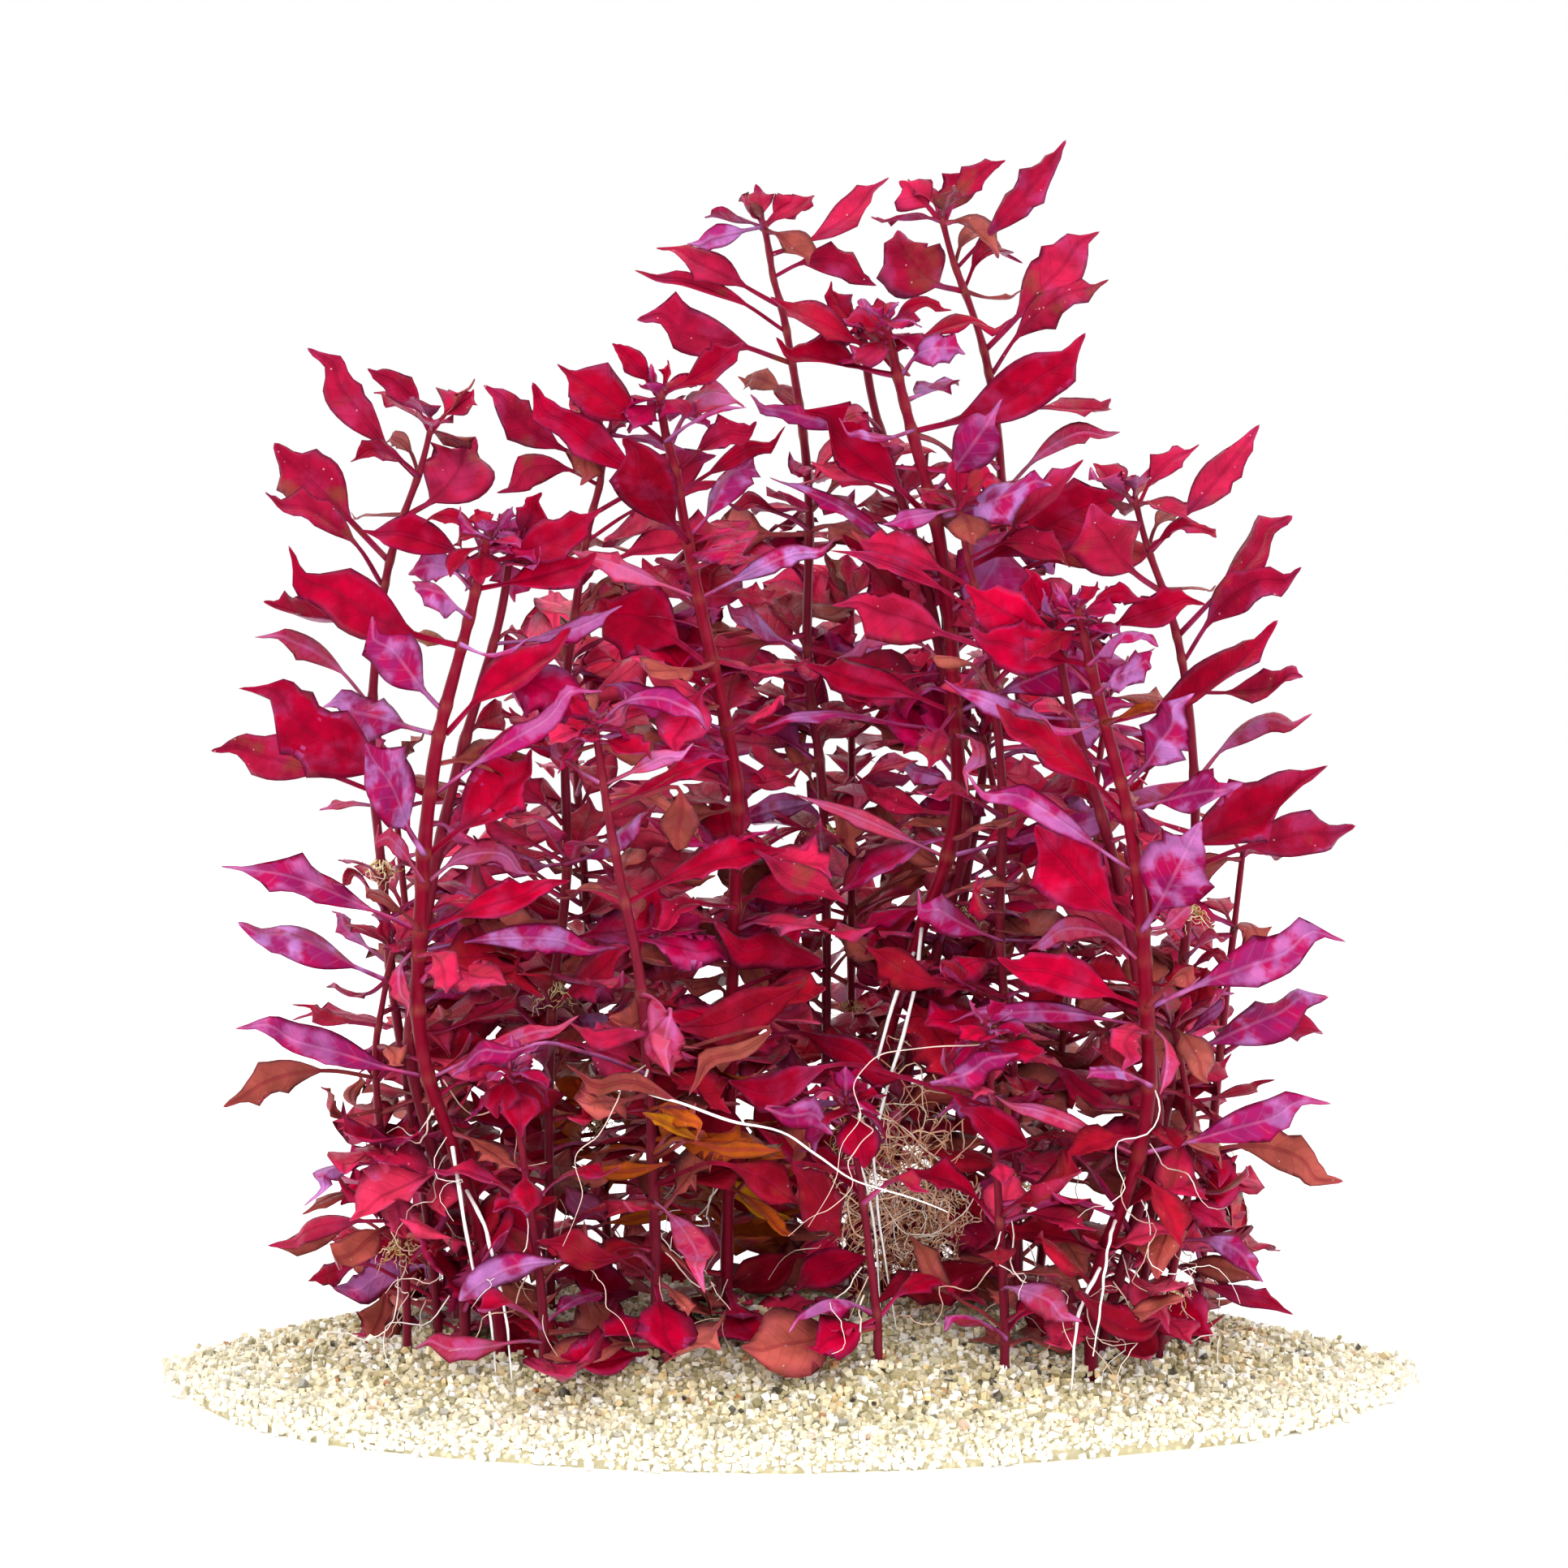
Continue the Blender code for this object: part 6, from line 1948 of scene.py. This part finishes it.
@dataclass
class SandHeap:
    """Loose grains over the solid heap.

    Attributes:
        gap: Distance between neighbouring grains.
        low: Smallest grain radius.
        high: Largest grain radius.
        jitter: How far off its grid a grain lies, in gaps.
        doubled: Share of grains with another one over them.
        loose: Share of grains kept past the rim.
        outermost: Reach of the outermost grains.
        shades: Colours, and the share of grains that have each.
        pale: Colour that the front rim fades to, as painted light.
    """

    gap: float = 1.06
    low: float = 0.46
    high: float = 0.84
    jitter: float = 0.34
    doubled: float = 0.2
    loose: float = 0.22
    outermost: float = 1.025
    shades: tuple[tuple[str, float], ...] = (
        ("#FFF8E4", 0.2), ("#F0E2BC", 0.22), ("#DED6B8", 0.15), ("#C2B68A", 0.14),
        ("#FFFEF8", 0.13), ("#A0946A", 0.09), ("#EED09A", 0.04), ("#B87848", 0.01),
        ("#3A3632", 0.02),
    )
    pale: str = "#FFFDF0"

    def grain_form(self) -> tuple[Array, Array]:
        """Return the eight corners of a cube and its twelve faces, facing outwards."""
        corners = np.array([(a, b, c) for a in (-1, 1) for b in (-1, 1) for c in (-1, 1)], float)
        sides = ((0, 1, 3, 2), (4, 6, 7, 5), (0, 4, 5, 1), (2, 3, 7, 6), (0, 2, 6, 4), (1, 5, 7, 3))
        faces = [(a, b, c) for a, b, c, _ in sides] + [(a, c, d) for a, _, c, d in sides]
        return unit(corners), np.array(faces)

    def rim(self, flat: Array) -> Array:
        """Return the rim's reach on the side of points: 1 + 0.018 sin(3a + 0.6) + 0.012 sin(7a)."""
        angle = np.arctan2(flat[:, 1] / HEAP_HALF[1], flat[:, 0] / HEAP_HALF[0])
        return 1.0 + 0.018 * np.sin(3.0 * angle + 0.6) + 0.012 * np.sin(7.0 * angle)

    def spots(self, feet: Array, rng: Rng) -> tuple[Array, Array]:
        """Lay out the grains.

        A jittered grid of rows covers the heap out to its rim. Its height has a ripple
        0.35 sin(0.31 x + 0.5) sin(0.27 y + 1.2) that fades to the rim, the grains are heaped
        against each stem by 1.5 exp(-(d / 2.4)^2), and a thinner second layer lies on them.

        Args:
            feet: Where the stems stand.
            rng: Random numbers.

        Returns:
            Middles and radii of the grains.
        """
        across = np.arange(-HEAP_HALF[0] - 5.0, HEAP_HALF[0] + 5.0, self.gap)
        deep = np.arange(-HEAP_HALF[1] - 4.0, HEAP_HALF[1] + 4.0, self.gap * 0.87)
        x, y = np.meshgrid(across, deep, indexing="ij")
        x = x + (np.arange(len(deep)) % 2)[None] * self.gap / 2.0
        flat = np.stack([x.ravel(), y.ravel()], axis=-1)
        flat = flat + rng.uniform(-self.jitter, self.jitter, flat.shape) * self.gap
        second = flat[rng.uniform(size=len(flat)) < self.doubled] + rng.uniform(-0.5, 0.5, 2)
        upper = np.arange(len(flat) + len(second)) >= len(flat)
        flat = np.concatenate([flat, second])
        reach = heap_reach(flat) / self.rim(flat)
        kept = rng.uniform(size=len(flat)) < self.loose
        kept = (reach < 0.997) | ((reach < self.outermost) & kept)
        flat, reach, upper = flat[kept], reach[kept], upper[kept]
        radii = rng.uniform(self.low, self.high, len(flat))
        ripple = 0.35 * np.sin(flat[:, 0] * 0.31 + 0.5) * np.sin(flat[:, 1] * 0.27 + 1.2)
        away = np.linalg.norm(flat[:, None] - feet[None], axis=2).min(axis=1)
        height = heap_height(flat) + ripple * (1.0 - reach.clip(0.0, 1.0)) + upper * 0.75
        height = height + 1.5 * np.exp(-((away / 2.4) ** 2))
        height = np.maximum(height - 0.1, radii * 0.7)
        return np.column_stack([flat, height]), radii

    def grains(self, spots: Array, radii: Array, rng: Rng) -> Array:
        """Give each grain the corners of a cube, stretched, made lumpy and turned at random.

        Args:
            spots: Middles of the grains.
            radii: Their radii.
            rng: Random numbers.

        Returns:
            The corners.
        """
        corners, _ = self.grain_form()
        count = len(spots)
        stretch = rng.uniform(0.66, 1.22, (count, 1, 3)) * radii[:, None, None]
        lumpy = (corners[None] + rng.uniform(-0.22, 0.22, (count, 8, 3))) * stretch * 1.08
        turn = rng.uniform(0.0, 2.0 * math.pi, count)
        lean = rng.uniform(0.0, math.pi, count)
        c, s, cl, sl = np.cos(turn), np.sin(turn), np.cos(lean), np.sin(lean)
        rows = ((c, -s * cl, s * sl), (s, c * cl, -c * sl), (np.zeros(count), sl, cl))
        spin = np.stack([np.stack(row, axis=-1) for row in rows], axis=1)
        points = np.einsum("nij,nkj->nki", spin, lumpy) + spots[:, None]
        points[..., 2] = np.maximum(points[..., 2], 0.0)
        return points

    def tints(self, spots: Array, rng: Rng) -> Array:
        """Colour each grain, paler towards the front rim as painted light.

        Args:
            spots: Middles of the grains.
            rng: Random numbers.

        Returns:
            Linear colour of each grain, and no dust.
        """
        shades = np.array([linear(code) for code, _ in self.shades])
        weights = np.array([weight for _, weight in self.shades])
        pick = rng.choice(len(shades), len(spots), p=weights / weights.sum())
        tints = shades[pick] * rng.uniform(0.74, 1.08, (len(spots), 1))
        # Painted light: grains near the front rim fade to pale, as if brightly lit.
        pale = 0.8 * ease((heap_reach(spots) - 0.76) / 0.26) * ease((26.0 - spots[:, 1]) / 40.0)
        tints = mixed(tints, linear(self.pale), pale[:, None]).clip(0.0, 1.0)
        return np.concatenate([tints, np.zeros((len(spots), 1))], axis=1)

    def make(self, feet: Array, skin: bpy.types.Material) -> list[bpy.types.Object]:
        """Make the grains as three pieces, from left to right.

        Args:
            feet: Where the stems stand.
            skin: The grains' material.

        Returns:
            The pieces.
        """
        rng = np.random.default_rng(2024)
        spots, radii = self.spots(feet, rng)
        points = self.grains(spots, radii, rng)
        tints = self.tints(spots, rng)
        _, faces = self.grain_form()
        ends = np.quantile(spots[:, 0], (1 / 3, 2 / 3))
        third = np.searchsorted(ends, spots[:, 0], side="right")
        things = []
        for k in range(3):
            mine = third == k
            spread = points[mine].reshape(-1, 3)
            tris = (faces[None] + np.arange(mine.sum())[:, None, None] * 8).reshape(-1, 3)
            tint = np.repeat(tints[mine], 8, axis=0)
            patch = Patch(spread, np.zeros((0, 4), int), tris, tint, spread, spread)
            things.append(PieceMesh(f"quartz_grains_{k + 1}", [patch]).make([skin], False))
        return things


@dataclass(frozen=True)
class SoftBox:
    """Square soft light that faces the group.

    Attributes:
        name: What it is called.
        spot: Where it hangs, in metres.
        size: Side of the square, in metres.
        power: Power in watts.
    """

    name: str
    spot: tuple[float, float, float]
    size: float
    power: float

    def hang(self, target: tuple[float, float, float] = (0.0, 0.0, 0.09)) -> None:
        """Add the light, turned to a target.

        Args:
            target: The target, in metres.
        """
        data = bpy.data.lights.new(self.name, "AREA")
        data.shape = "SQUARE"
        data.size = self.size
        data.energy = self.power
        lamp = bpy.data.objects.new(self.name, data)
        lamp.location = self.spot
        aim = np.array(target) - np.array(self.spot)
        turn = math.atan2(aim[1], aim[0]) - math.pi / 2.0
        lamp.rotation_euler = (math.atan2(math.hypot(aim[0], aim[1]), -aim[2]), 0.0, turn)
        bpy.context.scene.collection.objects.link(lamp)


@dataclass
class Studio:
    """Plain pale floor, soft light and the camera.

    Attributes:
        lens: Focal length of the camera.
        film: Width of its film.
        floor: Colour of the floor.
        reach: Half the floor's width, in metres.
        around: Strength of the surroundings as light, and as seen.
        boxes: The lights, overhead and in front.
    """

    lens: float = 139.75
    film: float = 36.0
    floor: str = "#FBFBFA"
    reach: float = 0.6
    around: tuple[float, float] = (1.2, 1.0)
    boxes: tuple[SoftBox, ...] = (
        SoftBox("overhead", (0.0, -0.3, 1.5), 2.4, 14.0),
        SoftBox("front_left", (-0.6, -1.0, 0.6), 0.8, 5.4),
        SoftBox("front_right", (0.8, -0.9, 0.35), 0.8, 4.4),
    )

    def camera(self) -> None:
        """Stand the camera where the photograph was taken from, looking down by the tilt."""
        data = bpy.data.cameras.new("camera")
        data.lens = self.lens
        data.sensor_width = self.film
        data.sensor_height = self.film
        data.sensor_fit = "AUTO"
        camera = bpy.data.objects.new("camera", data)
        bpy.context.scene.collection.objects.link(camera)
        camera.location = (np.array([0.0, 0.0, MIDDLE_HEIGHT]) + EYE * EYE_REACH) / 1000.0
        camera.rotation_euler = (math.pi / 2.0 - TILT, 0.0, 0.0)
        bpy.context.scene.camera = camera

    def ground(self) -> None:
        """Lay the floor."""
        mesh = bpy.data.meshes.new("floor")
        corners = ((-1, -1), (1, -1), (1, 1), (-1, 1))
        mesh.from_pydata([(a * self.reach, b * self.reach, 0.0) for a, b in corners], [], [range(4)])
        paper, add = new_material("pale_paper")
        feeds = {"Base Color": self.floor, "Roughness": 0.9}
        add("OutputMaterial", {"Surface": add("BsdfPrincipled", feeds)[0]})
        mesh.materials.append(paper)
        floor = bpy.data.objects.new("floor", mesh)
        bpy.context.scene.collection.objects.link(floor)

    def light(self) -> None:
        """Hang the soft boxes, before pale surroundings."""
        for box in self.boxes:
            box.hang()
        world = bpy.data.worlds.new("studio")
        world.use_nodes = True
        tree = world.node_tree
        back = tree.nodes["Background"]
        back.inputs[0].default_value = (1.0, 1.0, 1.0, 1.0)
        ray = add_node(tree, "LightPath")["Is Camera Ray"]
        strength = add_node(tree, "MapRange", {0: ray, 3: self.around[0], 4: self.around[1]})[0]
        tree.links.new(strength, back.inputs[1])
        bpy.context.scene.world = world
        bpy.context.scene.view_settings.view_transform = "Standard"


def main() -> None:
    """Build each piece in order and report it."""
    logging.basicConfig(level=logging.INFO, format="%(name)s: %(message)s")
    studio = Studio()
    studio.camera()
    studio.ground()
    studio.light()
    skins = [LeafSkin().make(), StemSkin().make(), RootSkin().make()]
    names = sorted(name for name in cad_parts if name.endswith("shoot") or "_shoot_" in name)
    pieces = [ShootPiece(SolidShoot.read(name), k) for k, name in enumerate(names)]
    shoots = [piece.shoot for piece in pieces]
    grower = Grower(Thicket(), Sight())
    meshes = {}
    for piece in pieces:
        piece.shoot.name_leaves()
        name = piece.shoot.name
        meshes[name] = PieceMesh(f"{name}_living", piece.solid_patches(grower))
    mat = RootTangle().grow()
    grower.sight.show(mat.joined("points"), 0.0)
    for name, patches in grower.drawn(shoots, np.random.default_rng(8)).items():
        meshes[name].patches += patches
    for piece in pieces:
        meshes[piece.shoot.name].patches += piece.small_patches(grower)
    LOG.info("open cells before the gaps are filled: %d", len(grower.sight.gaps()))
    for name, patches in grower.gap_leaves(shoots, np.random.default_rng(9)).items():
        meshes[name].patches += patches
    LOG.info("open cells left: %d", len(grower.sight.gaps()))
    for name, mesh in meshes.items():
        thing = mesh.make(skins)
        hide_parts(name)
        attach(thing, "root")
        LOG.info("%s: %d parts, %d triangles", name, len(mesh.patches), mesh.triangles)
    tangle = mat.make(skins[2:])
    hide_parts("root_tangle")
    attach(tangle, "root")
    LOG.info("%s: %d fibres, %d triangles", mat.name, len(mat.patches), mat.triangles)
    total = mat.triangles + sum(mesh.triangles for mesh in meshes.values())
    feet = np.array([shoot.stem.points[:2, :2].mean(axis=0) for shoot in shoots])
    for grains in SandHeap().make(feet, QuartzGrain().make()):
        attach(grains, "root")
        total += len(grains.data.polygons)
        LOG.info("%s: %d triangles", grains.name, len(grains.data.polygons))
    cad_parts["sand_mound"].material_slots[0].material = PackedSand().make()
    LOG.info("sand_mound: shown as it is, in packed sand")
    LOG.info("all pieces added: %d triangles", total)


if __name__ == "__main__":
    main()
